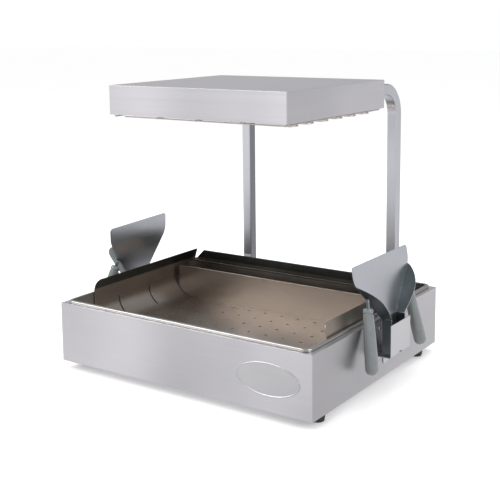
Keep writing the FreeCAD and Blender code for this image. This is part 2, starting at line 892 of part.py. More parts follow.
def switch_frame():
    """Rocker switch case: a bezel outside the plate and a body behind it."""
    x = control_plate_centre_x + switch_offset_x
    z = control_plate_centre_z
    face = base_depth + control_plate_sheet
    body = box(
        x - switch_width / 2, face - switch_body_depth, z - switch_height / 2,
        switch_width, switch_body_depth, switch_height,
    )
    bezel = box(
        x - switch_width / 2 - switch_bezel, face, z - switch_height / 2 - switch_bezel,
        switch_width + 2 * switch_bezel, switch_bezel_proud, switch_height + 2 * switch_bezel,
    )
    pocket = box(
        x - switch_width / 2 + switch_bezel, face - rocker_depth - rocker_gap, z - switch_height / 2 + switch_bezel,
        switch_width - 2 * switch_bezel, rocker_depth + rocker_gap + switch_bezel_proud + overrun,
        switch_height - 2 * switch_bezel,
    )
    return fused([body, bezel]).cut([pocket, rocker_pin(rocker_pin_radius + shaft_clearance, shaft_clearance)])


def rocker_pin(radius, grow):
    """Round bar on the rocker's axis, long enough for a pin at each end."""
    half = switch_width / 2 - switch_bezel + rocker_pin_reach + grow
    x = control_plate_centre_x + switch_offset_x
    return rod(radius, 2 * half, V(x - half, base_depth, control_plate_centre_z), AXIS_X)


def switch_rocker():
    """Rocker that turns on an axis across the switch: a round belly with two sloping pads."""
    x = control_plate_centre_x + switch_offset_x
    z = control_plate_centre_z
    axis_y = base_depth
    width = switch_width - 2 * switch_bezel - 2 * rocker_gap
    half = switch_height / 2 - switch_bezel - 2 * rocker_gap
    lift = half * math.tan(math.radians(rocker_tilt))
    front = base_depth + control_plate_sheet + switch_bezel_proud + rocker_proud
    points = [
        V(0, axis_y - rocker_depth / 2, -half * rocker_belly_share),
        V(0, axis_y - rocker_depth / 2, half * rocker_belly_share),
        V(0, axis_y, half - rocker_gap),
        V(0, front - rocker_proud + lift, half - 2 * rocker_gap),
        V(0, front - rocker_proud, 0),
        V(0, front - rocker_proud + lift, -half + 2 * rocker_gap),
        V(0, axis_y, -half + rocker_gap),
    ]
    rocker = prism(points, V(width, 0, 0))
    rocker.rotate(V(0, axis_y, 0), AXIS_X, -rocker_tilt / 2)
    rocker.translate(V(x - width / 2, 0, z))
    return fused([rocker, rocker_pin(rocker_pin_radius, 0)])


def cord_gland():
    """Cord inlet: a flanged bush through the rear wall."""
    x = gland_centre_x
    z = gland_centre_z
    stem_start = base_depth - case_sheet - gland_nut_depth
    stem = rod(gland_radius, gland_nut_depth + case_sheet, V(x, stem_start, z), AXIS_Y)
    flange = rod(gland_flange_radius, gland_flange_depth, V(x, base_depth, z), AXIS_Y)
    nose_start = V(x, base_depth + gland_flange_depth, z)
    nose = Part.makeCone(
        gland_radius, gland_bore_radius + case_sheet, gland_length - gland_flange_depth, nose_start, AXIS_Y,
    )
    length = gland_length + gland_nut_depth + case_sheet + 2 * overrun
    bore = rod(gland_bore_radius, length, V(x, stem_start - overrun, z), AXIS_Y)
    return fused([stem, flange, nose]).cut(bore)


def gland_nut():
    """Lock nut of the cord inlet, inside the rear wall."""
    seat = V(gland_centre_x, base_depth - case_sheet, gland_centre_z)
    return hex_nut(gland_flange_radius, gland_nut_depth, gland_radius, seat, AXIS_Y * -1)


def terminal_block():
    """Terminal block on the floor panel, with a row of screw wells."""
    y = base_depth - terminal_from_rear
    low = 2 * case_sheet
    block = box(gland_centre_x - terminal_width / 2, y, low, terminal_width, terminal_depth, terminal_height)
    pitch = terminal_width / terminal_way_count
    wells = []
    for index in range(terminal_way_count):
        x = gland_centre_x + (index - (terminal_way_count - 1) / 2) * pitch
        top = V(x, y + terminal_depth / 2, low + terminal_height - terminal_way_depth)
        wells.append(rod(terminal_way_radius, terminal_way_depth + overrun, top, AXIS_Z))
    return block.cut(wells)


def square_section(size, radius):
    """A square face with rounded corners, level, about the origin."""
    block = rounded_block(-size / 2, -size / 2, -size / 2, size, size, size, radius)
    faces = [face for face in block.Faces if face.BoundBox.ZMin > size / 2 - slip]
    return faces[0]


def bent_bar(size, radius):
    """Square bar that rises behind the base, bends forward and runs into the hood."""
    rise_end = post_run_z - post_bend_radius
    run_start = post_centre_y - post_bend_radius
    run_end = hood_rear - post_reach_in_hood
    section = square_section(size, radius)
    section.translate(V(0, post_centre_y, rise_end - size / 2))
    upright = section.extrude(V(0, 0, post_foot_rise - rise_end))
    bend = section.revolve(V(0, run_start, rise_end), AXIS_X, QUARTER_TURN)
    level = square_section(size, radius)
    level.rotate(V(0, 0, 0), AXIS_X, QUARTER_TURN)
    level.translate(V(0, run_start - level.CenterOfMass.y, post_run_z))
    run = level.extrude(V(0, run_end - run_start, 0))
    return upright.fuse([bend, run])


def post(x):
    """Bent square tube with holes for its two wall bolts and its bolt in the hood."""
    tube = bent_bar(post_size, post_corner_radius).removeSplitter()
    bore = bent_bar(post_size - 2 * post_wall, post_corner_radius - post_wall).removeSplitter()
    tube = tube.cut(bore)
    tube.translate(V(x, 0, 0))
    cuts = []
    for bolt_x, z in post_bolt_places():
        if bolt_x == x:
            cuts.append(rod(post_bolt_radius, post_size + 2 * overrun, V(x, base_depth - overrun, z), AXIS_Y))
    bar_y = hood_rear - cross_bar_from_rear
    low = V(x, bar_y, post_run_z - post_size / 2 - overrun)
    cuts.append(rod(cross_bar_bolt_radius, post_size + 2 * overrun, low, AXIS_Z))
    return tube.cut(cuts)


def post_plugs():
    """Push-in plugs that close the lower ends of the posts."""
    plugs = []
    inner = post_size - 2 * post_wall
    for x in (-post_pitch / 2, post_pitch / 2):
        stem = rounded_block(
            x - inner / 2, post_centre_y - inner / 2, post_foot_rise, inner, inner, post_plug_depth,
            post_corner_radius - post_wall,
        )
        flange = rounded_block(
            x - post_size / 2, post_centre_y - post_size / 2, post_foot_rise - post_plug_flange,
            post_size, post_size, post_plug_flange, post_corner_radius,
        )
        plugs.append(fused([stem, flange]))
    return Part.makeCompound(plugs)


def post_bolts():
    """Button-head bolts through the posts and the rear wall."""
    bolts = []
    back = base_depth + post_size
    length = post_size + case_sheet + nut_bar_thickness
    for x, z in post_bolt_places():
        head = rod(post_bolt_head_radius, post_bolt_head_height, V(x, back, z), AXIS_Y)
        head = head.makeFillet(post_bolt_head_height / 2, [
            edge for edge in head.Edges if edge.BoundBox.YMin > back + post_bolt_head_height - slip
        ])
        stem = rod(post_bolt_radius, length, V(x, back - length, z), AXIS_Y)
        bolts.append(fused([head, stem]))
    return Part.makeCompound(bolts)


def nut_bars():
    """Tapped bars inside the rear wall that the post bolts draw up to."""
    bars = []
    start = base_depth - case_sheet - nut_bar_thickness
    middle = (post_bolt_low + post_bolt_high) / 2
    for x in (-post_pitch / 2, post_pitch / 2):
        bar = box(
            x - nut_bar_width / 2, start, middle - nut_bar_length / 2,
            nut_bar_width, nut_bar_thickness, nut_bar_length,
        )
        holes = [
            rod(post_bolt_radius, nut_bar_thickness + 2 * overrun, V(x, start - overrun, z), AXIS_Y)
            for z in (post_bolt_low, post_bolt_high)
        ]
        bars.append(bar.cut(holes))
    return Part.makeCompound(bars)


def guard_pin_places():
    """Places in x and y where the guard's cross wires turn up into the hood hem."""
    front = hood_setback + guard_pin_inset
    rear = hood_rear - guard_pin_inset
    return [(share * hood_width, y) for share in guard_cross_shares for y in (front, rear)]


def hood_shell():
    """Flat folded hood, open below, with an in-turned hem."""
    half = hood_width / 2
    outer = rounded_block(-half, hood_setback, hood_bottom, hood_width, hood_depth, hood_height, hood_edge_radius)
    inner = box(
        -half + case_sheet, hood_setback + case_sheet, hood_bottom + case_sheet,
        hood_width - 2 * case_sheet, hood_depth - 2 * case_sheet, hood_height - 2 * case_sheet,
    )
    mouth = box(
        -half + hood_hem, hood_setback + hood_hem, hood_bottom - overrun,
        hood_width - 2 * hood_hem, hood_depth - 2 * hood_hem, case_sheet + 2 * overrun,
    )
    cuts = [inner, mouth]
    hole = post_size + 2 * hood_post_clearance
    for x in (-post_pitch / 2, post_pitch / 2):
        cuts.append(box(
            x - hole / 2, hood_rear - case_sheet - overrun, post_run_z - hole / 2,
            hole, case_sheet + 2 * overrun, hole,
        ))
    for x, y in guard_pin_places():
        start = V(x, y, hood_bottom - overrun)
        cuts.append(rod(guard_wire_radius, case_sheet + 2 * overrun, start, AXIS_Z))
    return outer.cut(cuts)


def cross_bar():
    """Channel across the hood that the post ends are bolted down to."""
    half = hood_width / 2 - case_sheet
    top = post_run_z - post_size / 2
    y = hood_rear - cross_bar_from_rear - cross_bar_width / 2
    bar = box(-half, y, top - cross_bar_height, 2 * half, cross_bar_width, cross_bar_height)
    hollow = box(
        -half - overrun, y + case_sheet, top - cross_bar_height - overrun,
        2 * half + 2 * overrun, cross_bar_width - 2 * case_sheet, cross_bar_height - case_sheet + overrun,
    )
    holes = []
    for x in (-post_pitch / 2, post_pitch / 2):
        start = V(x, hood_rear - cross_bar_from_rear, top - cross_bar_height - overrun)
        holes.append(rod(cross_bar_bolt_radius, cross_bar_height + 2 * overrun, start, AXIS_Z))
    return bar.cut(hollow).cut(holes)


def cross_bar_bolts():
    """Bolts down through the post ends and the cross bar."""
    bolts = []
    top = post_run_z + post_size / 2
    low = post_run_z - post_size / 2 - case_sheet - cross_bar_nut_height
    for x in (-post_pitch / 2, post_pitch / 2):
        y = hood_rear - cross_bar_from_rear
        head = rod(cross_bar_nut_radius, cross_bar_nut_height, V(x, y, top), AXIS_Z)
        stem = rod(cross_bar_bolt_radius, top - low, V(x, y, low), AXIS_Z)
        bolts.append(fused([head, stem]))
    return Part.makeCompound(bolts)


def cross_bar_nuts():
    """Nuts under the cross bar."""
    seat = post_run_z - post_size / 2 - case_sheet
    y = hood_rear - cross_bar_from_rear
    return Part.makeCompound([
        hex_nut(cross_bar_nut_radius, cross_bar_nut_height, cross_bar_bolt_radius, V(x, y, seat), AXIS_Z * -1)
        for x in (-post_pitch / 2, post_pitch / 2)
    ])


def reflector_block(grow, lift):
    """Flared block that the reflector is cut from."""
    half = hood_width / 2 - reflector_side_gap + grow
    front = hood_setback + reflector_side_gap - grow
    rear = hood_rear - reflector_rear_gap + grow
    low = hood_bottom + reflector_lift
    high = hood_top - reflector_drop + lift
    flare = reflector_flare
    bottom = Part.makePolygon([
        V(-half, front, low), V(half, front, low), V(half, rear, low), V(-half, rear, low), V(-half, front, low),
    ])
    top = Part.makePolygon([
        V(-half + flare, front + flare, high), V(half - flare, front + flare, high),
        V(half - flare, rear - flare, high), V(-half + flare, rear - flare, high),
        V(-half + flare, front + flare, high),
    ])
    return Part.makeLoft([bottom, top], True, True)


def reflector():
    """Flared polished reflector above the heating elements, with a flat lip that rests on the hood hem."""
    body = reflector_block(0, 0).cut(reflector_block(-reflector_sheet, -reflector_sheet))
    half = hood_width / 2 - reflector_side_gap
    front = hood_setback + reflector_side_gap
    rear = hood_rear - reflector_rear_gap
    low = hood_bottom + reflector_lift
    plate = box(
        -half - reflector_lip, front - reflector_lip, low,
        2 * (half + reflector_lip), rear - front + 2 * reflector_lip, reflector_sheet,
    )
    mouth = box(
        -half + reflector_sheet, front + reflector_sheet, low - overrun,
        2 * (half - reflector_sheet), rear - front - 2 * reflector_sheet, reflector_sheet + 2 * overrun,
    )
    hem_gap = reflector_lift - case_sheet
    lip_z = low - hem_gap
    legs = []
    for sign in (-1, 1):
        x = sign * (half + reflector_lip) - (reflector_sheet if sign > 0 else 0)
        legs.append(box(x, front, lip_z, reflector_sheet, rear - front, hem_gap + reflector_sheet))
    whole = fused([body, plate.cut(mouth)] + legs)
    holes = []
    for y in element_rows():
        start = V(-hood_width / 2, y, element_z())
        holes.append(rod(sleeve_radius, hood_width, start, AXIS_X))
    return whole.cut(holes)


def hood_blanket():
    """Insulation blanket on top of the reflector."""
    half = hood_width / 2 - reflector_side_gap - reflector_flare - hood_blanket_margin
    front = hood_setback + reflector_side_gap + reflector_flare + hood_blanket_margin
    length = hood_rear - reflector_rear_gap - reflector_flare - hood_blanket_margin - front
    return box(-half, front, hood_top - reflector_drop, 2 * half, length, hood_blanket_thickness)


def hood_terminal_block():
    """Ceramic terminal block on the cross bar."""
    y = hood_rear - cross_bar_from_rear - hood_terminal_depth / 2
    low = post_run_z - post_size / 2
    return box(-hood_terminal_width / 2, y, low, hood_terminal_width, hood_terminal_depth, hood_terminal_height)


def element_rows():
    """Places in y of the heating elements."""
    front = hood_setback + reflector_side_gap
    rear = hood_rear - reflector_rear_gap
    step = (rear - front) / (element_count + 1)
    return [front + step * (index + 1) for index in range(element_count)]


def element_z():
    """Height of the heating elements."""
    return hood_top - reflector_drop - element_drop


def heating_element(y):
    """Straight sheathed element across the hood."""
    half = hood_width / 2 - element_end_gap
    return rod(element_radius, 2 * half, V(-half, y, element_z()), AXIS_X)


def element_sleeves():
    """Ceramic sleeves where the elements pass through the ends of the reflector."""
    sleeves = []
    half = hood_width / 2 - element_end_gap
    for y in element_rows():
        for sign in (-1, 1):
            start = V(sign * half, y, element_z())
            tube = rod(sleeve_radius, sleeve_length, start, AXIS_X * -sign)
            bore = rod(element_radius, sleeve_length + 2 * overrun, start + V(sign * overrun, 0, 0), AXIS_X * -sign)
            sleeves.append(tube.cut(bore))
    return Part.makeCompound(sleeves)


def element_clips():
    """Clips that hang the middle of each element from the reflector's top."""
    clips = []
    top = hood_top - reflector_drop - reflector_sheet
    for y in element_rows():
        ring = rod(element_radius + element_clip_wall, element_clip_width, V(-element_clip_width / 2, y, element_z()),
                   AXIS_X)
        stem = box(
            -element_clip_width / 2, y - element_clip_wall, element_z(),
            element_clip_width, 2 * element_clip_wall, top - element_z(),
        )
        bore = rod(element_radius, element_clip_width + 2 * overrun,
                   V(-element_clip_width / 2 - overrun, y, element_z()), AXIS_X)
        clips.append(fused([ring, stem]).cut(bore))
    return Part.makeCompound(clips)


def swept_wire(edges, direction):
    """Round wire along a chain of edges that starts in a given direction."""
    path = Part.Wire(edges)
    start = path.OrderedVertexes[0].Point
    ring = Part.Wire([Part.makeCircle(guard_wire_radius, start, direction)])
    return path.makePipeShell([ring], True, True)


def guard_runs():
    """Path of the serpentine: runs across the hood joined by half rings."""
    half = hood_width / 2 - guard_side_inset - guard_run_pitch / 2
    first = hood_setback + hood_depth / 2 - (guard_run_count - 1) * guard_run_pitch / 2
    edges = []
    side = -1
    for index in range(guard_run_count):
        y = first + index * guard_run_pitch
        start = V(side * half, y, guard_z)
        side = -side
        end = V(side * half, y, guard_z)
        edges.append(Part.makeLine(start, end))
        if index + 1 < guard_run_count:
            middle = V(side * (half + guard_run_pitch / 2), y + guard_run_pitch / 2, guard_z)
            edges.append(Part.Arc(end, middle, end + V(0, guard_run_pitch, 0)).toShape())
    return edges


def guard_cross_wire(x):
    """Path of a cross wire: a level run whose two ends turn up."""
    low = guard_z + 2 * guard_wire_radius - slip
    top = hood_bottom + case_sheet + push_nut_thickness
    front = hood_setback + guard_pin_inset
    rear = hood_rear - guard_pin_inset
    bend = guard_pin_bend
    part_way = bend * (1 - math.sqrt(0.5))
    return [
        Part.makeLine(V(x, front, top), V(x, front, low + bend)),
        Part.Arc(
            V(x, front, low + bend), V(x, front + part_way, low + part_way), V(x, front + bend, low),
        ).toShape(),
        Part.makeLine(V(x, front + bend, low), V(x, rear - bend, low)),
        Part.Arc(
            V(x, rear - bend, low), V(x, rear - part_way, low + part_way), V(x, rear, low + bend),
        ).toShape(),
        Part.makeLine(V(x, rear, low + bend), V(x, rear, top)),
    ]


def wire_guard():
    """Serpentine wire guard under the hood, with cross wires whose ends turn up through the hem."""
    guard = swept_wire(guard_runs(), AXIS_X)
    for share in guard_cross_shares:
        guard = guard.fuse(swept_wire(guard_cross_wire(share * hood_width), AXIS_Z))
    return guard


def push_nuts():
    """Push-on washers that hold the guard's pins above the hem."""
    nuts = []
    low = hood_bottom + case_sheet
    for x, y in guard_pin_places():
        disc = rod(push_nut_radius, push_nut_thickness, V(x, y, low), AXIS_Z)
        hole = rod(guard_wire_radius, push_nut_thickness + 2 * overrun, V(x, y, low - overrun), AXIS_Z)
        nuts.append(disc.cut(hole))
    return Part.makeCompound(nuts)


def scoop_holder(centre_y):
    """Bent strap on the right side: back plate with a tab, bottom and outer plate, open at both ends."""
    low = holder_bottom
    front = centre_y - holder_width / 2
    outer = box(half_width, front, low, holder_standoff, holder_width, holder_height)
    outer = outer.makeFillet(holder_bend_radius, [
        edge for edge in outer.Edges
        if edge.BoundBox.XMin > half_width + holder_standoff - slip and edge.BoundBox.ZMax < low + slip
    ])
    inner = box(
        half_width + case_sheet, front - overrun, low + case_sheet,
        holder_standoff - 2 * case_sheet, holder_width + 2 * overrun, holder_height + overrun,
    )
    strap = outer.cut(inner)
    tab = box(
        half_width, centre_y - holder_tab_width / 2, low - holder_tab_length,
        case_sheet, holder_tab_width, holder_tab_length + case_sheet,
    )
    tab = tab.makeFillet(holder_tab_radius, [
        edge for edge in tab.Edges
        if runs_along(edge, AXIS_X) and edge.BoundBox.ZMax < low - holder_tab_length + slip
    ])
    drain = box(
        half_width + holder_standoff - case_sheet - overrun, centre_y - holder_drain_width / 2, low - overrun,
        case_sheet + 2 * overrun, holder_drain_width, holder_drain_height + overrun,
    )
    holder = fused([strap, tab]).cut(drain)
    holes = [
        rod(holder_screw_radius, case_sheet + 2 * overrun, V(half_width - overrun, y, z), AXIS_X)
        for y, z in holder_screw_places(centre_y)
    ]
    return holder.cut(holes)


def holder_screws(centre_y):
    """Three pan-head screws that hold one holder to the right side."""
    screws = []
    face = half_width + case_sheet
    for y, z in holder_screw_places(centre_y):
        head = rod(holder_screw_head_radius, holder_screw_head_height, V(face, y, z), AXIS_X)
        stem = rod(holder_screw_radius, holder_screw_length, V(face - holder_screw_length, y, z), AXIS_X)
        screws.append(fused([head, stem]))
    return Part.makeCompound(screws)


def scoop_point(out, along, rise, lean):
    """A point of a scoop: out from its chute plane, along y, and up from the chute's foot, leaning in."""
    over = max(rise - scoop_bend_rise, 0)
    inward = over * math.tan(math.radians(lean))
    return V(half_width + scoop_chute_standoff + out - inward, along, holder_bottom + case_sheet + rise)


def scoop_normal(lean):
    """Direction that the leaning blade faces."""
    angle = math.radians(lean)
    return V(math.cos(angle), 0, math.sin(angle))


def scoop_wing(neck, shoulder, lean, depth, peak_share, side_sign):
    """Side wing that stands on the blade's slanted crease, from the neck up to near the shoulder."""
    face = scoop_normal(lean)
    crease = shoulder - neck
    across = crease.cross(face)
    across.normalize()
    if across.y * side_sign > 0:
        across = across * -1
    peak = neck + crease * peak_share + face * depth
    start = neck + crease * wing_start_share
    points = [neck, neck + face * scoop_chute_depth, peak, start]
    return prism(points, across * scoop_sheet)


def scoop_blade(centre, neck_half, lean, corners, depth, peak_share, grips):
    """Scoop on the right side: chute in the holder, flared blade, two side wings and the grip tangs."""
    front_neck = scoop_point(0, centre - neck_half, scoop_bend_rise, lean)
    rear_neck = scoop_point(0, centre + neck_half, scoop_bend_rise, lean)
    outline = [scoop_point(0, centre + along, rise, lean) for along, rise in corners]
    blade = prism([front_neck] + outline + [rear_neck], scoop_normal(lean) * -scoop_sheet)
    top = [
        edge for edge in blade.Edges
        if edge.Length < 2 * scoop_sheet and edge.BoundBox.ZMin > outline[0].z + scoop_mouth_corner
    ]
    blade = blade.makeFillet(scoop_mouth_corner, top)
    low = scoop_point(0, centre - neck_half, 0, lean)
    height = scoop_bend_rise + scoop_sheet
    chute = box(low.x - scoop_sheet, low.y, low.z, scoop_sheet, 2 * neck_half, height)
    walls = [
        box(low.x - scoop_sheet, y, low.z, scoop_chute_depth + scoop_sheet, scoop_sheet, height)
        for y in (centre - neck_half, centre + neck_half - scoop_sheet)
    ]
    wings = [
        scoop_wing(front_neck, outline[0], lean, depth, peak_share, -1),
        scoop_wing(rear_neck, outline[-1], lean, depth, peak_share, 1),
    ]
    tangs = []
    for grip in grips:
        if grip[2] < 0:
            tangs.append(scoop_tang(grip, front_neck, outline[0], lean))
        else:
            tangs.append(scoop_tang(grip, rear_neck, outline[-1], lean))
    return fused([blade, chute] + walls + wings + tangs)


def grip_ends(centre, lean, top_spread, bottom_spread, sign):
    """Upper and lower end points of a grip's axis, and its side."""
    upper = scoop_point(0, centre + sign * top_spread, grip_top_rise, 0)
    lower = scoop_point(0, centre + sign * bottom_spread, grip_bottom_rise, 0)
    upper.x = half_width + scoop_chute_standoff + grip_top_out
    lower.x = half_width + scoop_chute_standoff + grip_bottom_out
    return upper, lower, sign


def scoop_tang(grip, neck, shoulder, lean):
    """Steel rod from the outside of a wing down into its grip."""
    upper, lower, sign = grip
    direction = upper - lower
    direction.normalize()
    across = (shoulder - neck).cross(scoop_normal(lean))
    across.normalize()
    reach = (neck - upper).dot(across) / direction.dot(across)
    return rod(tang_radius, reach + tang_in_grip, upper - direction * tang_in_grip, direction)


def scoop_grip(grip):
    """Tapered moulded grip with round ends, bored for its tang."""
    upper, lower, sign = grip
    direction = upper - lower
    length = direction.Length
    direction.normalize()
    cone = Part.makeCone(grip_bottom_radius, grip_top_radius, length, lower, direction)
    low_end = Part.makeSphere(grip_bottom_radius, lower)
    cone = cone.makeFillet(grip_top_radius / 2, [
        edge for edge in cone.Edges if (edge.CenterOfMass - upper).Length < grip_top_radius / 2
    ])
    body = cone.fuse(low_end).removeSplitter()
    bore = rod(tang_radius, tang_in_grip + overrun, upper - direction * tang_in_grip, direction)
    return body.cut(bore)


def write_base():
    """Writes the case, its feet and what it holds."""
    write("base_shell", base_shell())
    write("floor_panel", floor_panel())
    write("floor_screws", floor_screws())
    write("feet", feet())
    write("foot_screws", foot_screws())
    write("foot_nuts", foot_nuts())
    write("badge_plate", badge_plate())
    write("heat_plate", heat_plate())
    write("blanket_heater", blanket_heater())
    write("support_rails", support_rails())
    write("insulation_pad", insulation_pad())


def write_controls():
    """Writes the rear control plate, the thermostat, the switch and the cord inlet."""
    write("control_plate", control_plate())
    write("plate_screws", plate_screws())
    write("thermostat_body", thermostat_body())
    write("thermostat_shaft", thermostat_shaft())
    write("thermostat_knob", thermostat_knob())
    write("switch_frame", switch_frame())
    write("switch_rocker", switch_rocker())
    write("cord_gland", cord_gland())
    write("gland_nut", gland_nut())
    write("terminal_block", terminal_block())


def write_pan():
    """Writes the pan and what stands in it."""
    write("hot_pan", hot_pan())
    write("bin_trough", bin_trough())
    write("bin_divider", bin_divider())
    write("carton_rack", carton_rack())


def write_posts_and_hood():
    """Writes the posts, the hood and what it holds."""
    write("post_left", post(-post_pitch / 2))
    write("post_right", post(post_pitch / 2))
    write("post_plugs", post_plugs())
    write("post_bolts", post_bolts())
    write("nut_bars", nut_bars())
    write("hood_shell", hood_shell())
    write("cross_bar", cross_bar())
    write("cross_bar_bolts", cross_bar_bolts())
    write("cross_bar_nuts", cross_bar_nuts())
    write("reflector", reflector())
    write("hood_blanket", hood_blanket())
    write("hood_terminal_block", hood_terminal_block())
    names = ("heating_element_front", "heating_element_rear")
    for name, y in zip(names, element_rows()):
        write(name, heating_element(y))
    write("element_sleeves", element_sleeves())
    write("element_clips", element_clips())
    write("wire_guard", wire_guard())
    write("push_nuts", push_nuts())


def write_scoops():
    """Writes both holders and both scoops."""
    write("scoop_holder_right", scoop_holder(holder_centre_right))
    write("scoop_holder_left", mirrored(scoop_holder(holder_centre_left)))
    write("holder_screws_right", holder_screws(holder_centre_right))
    write("holder_screws_left", mirrored(holder_screws(holder_centre_left)))
    right_grips = [
        grip_ends(right_scoop_centre, right_scoop_lean, right_grip_top_spread, right_grip_bottom_spread, sign)
        for sign in (-1, 1)
    ]
    corners = [
        (-right_mouth_half_width, right_shoulder_rise),
        (-right_mouth_half_width, right_mouth_rise),
        (right_mouth_half_width, right_mouth_rise),
        (right_mouth_half_width, right_shoulder_rise),
    ]
    blade = scoop_blade(
        right_scoop_centre, right_neck_half_width, right_scoop_lean, corners,
        right_wing_depth, right_wing_peak_share, right_grips,
    )
    write("scoop_right_blade", blade)
    for name, grip in zip(("scoop_right_front_grip", "scoop_right_rear_grip"), right_grips):
        write(name, scoop_grip(grip))
    left_grip = grip_ends(left_scoop_centre, left_scoop_lean, left_grip_top_spread, left_grip_bottom_spread, -1)
    corners = [
        (-left_shoulder_front_reach, left_shoulder_rise),
        (-left_mouth_front_reach, left_mouth_front_rise),
        (left_mouth_rear_reach, left_mouth_rear_rise),
        (left_shoulder_rear_reach, left_shoulder_rise),
    ]
    blade = scoop_blade(
        left_scoop_centre, left_neck_half_width, left_scoop_lean, corners,
        left_wing_depth, left_wing_peak_share, [left_grip],
    )
    write("scoop_left_blade", mirrored(blade))
    write("scoop_left_grip", mirrored(scoop_grip(left_grip)))


write_base()
write_controls()
write_pan()
write_posts_and_hood()
write_scoops()
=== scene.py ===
"""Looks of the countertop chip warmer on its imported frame: finishes, modelled pieces and studio."""

import json
import logging
import math
from contextlib import contextmanager
from dataclasses import dataclass
from enum import Enum
from typing import Callable, Iterator

import bmesh
import bpy
from mathutils import Matrix, Vector


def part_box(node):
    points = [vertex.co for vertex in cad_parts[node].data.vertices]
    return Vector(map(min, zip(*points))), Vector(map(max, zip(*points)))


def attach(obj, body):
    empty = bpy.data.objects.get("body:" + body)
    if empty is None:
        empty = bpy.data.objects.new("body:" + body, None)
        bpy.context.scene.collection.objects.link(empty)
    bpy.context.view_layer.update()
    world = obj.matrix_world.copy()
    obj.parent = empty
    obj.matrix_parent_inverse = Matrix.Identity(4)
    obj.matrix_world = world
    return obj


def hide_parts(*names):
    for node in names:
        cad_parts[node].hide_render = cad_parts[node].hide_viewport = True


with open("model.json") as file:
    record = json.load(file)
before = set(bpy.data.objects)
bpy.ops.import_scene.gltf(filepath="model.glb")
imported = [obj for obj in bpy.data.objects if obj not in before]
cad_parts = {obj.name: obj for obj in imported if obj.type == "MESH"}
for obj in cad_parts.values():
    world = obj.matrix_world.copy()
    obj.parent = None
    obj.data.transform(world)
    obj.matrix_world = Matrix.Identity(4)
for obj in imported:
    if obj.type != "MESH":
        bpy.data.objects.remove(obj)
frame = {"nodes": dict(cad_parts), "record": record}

LOG = logging.getLogger("chip_warmer")

Colour = tuple[float, float, float]
Place = tuple[float, float, float]
Ring = tuple[float, float]
Stops = tuple[tuple[float, Colour], ...]
Socket = bpy.types.NodeSocket

ORIGIN = (0.0, 0.0, 0.0)
WHITE = (1.0, 1.0, 1.0)
UP = Vector((0.0, 0.0, 1.0))
# How near two places are that are the same, and that are in the same row, in metres.
NEAR = 0.0001
CLOSE = 0.001
# Least part of a normal along an axis that counts as straight along it, and as mostly along it.
STRAIGHT = 0.9
MOSTLY = 0.7
FLOAT = "NodeSocketFloat"
# Sockets of a Mix node that mixes colours.
MIX_COLOURS = (6, 7)
MIX_RESULT = 2


class Grain(Enum):
    """Direction in which a metal has been brushed."""

    LEVEL = 0.0
    UPRIGHT = 1.0


def scaled(tint: Colour, share: float) -> Colour:
    """Gives a colour made darker or lighter, up to white."""
    return tuple(min(1.0, part * share) for part in tint)


def greys(levels: tuple[Ring, ...], blue: float = 1.0) -> Stops:
    """Turns grey levels at their spots into colour stops, with a share of blue."""
    return tuple((spot, (level, level, level * blue)) for spot, level in levels)


# Node boards


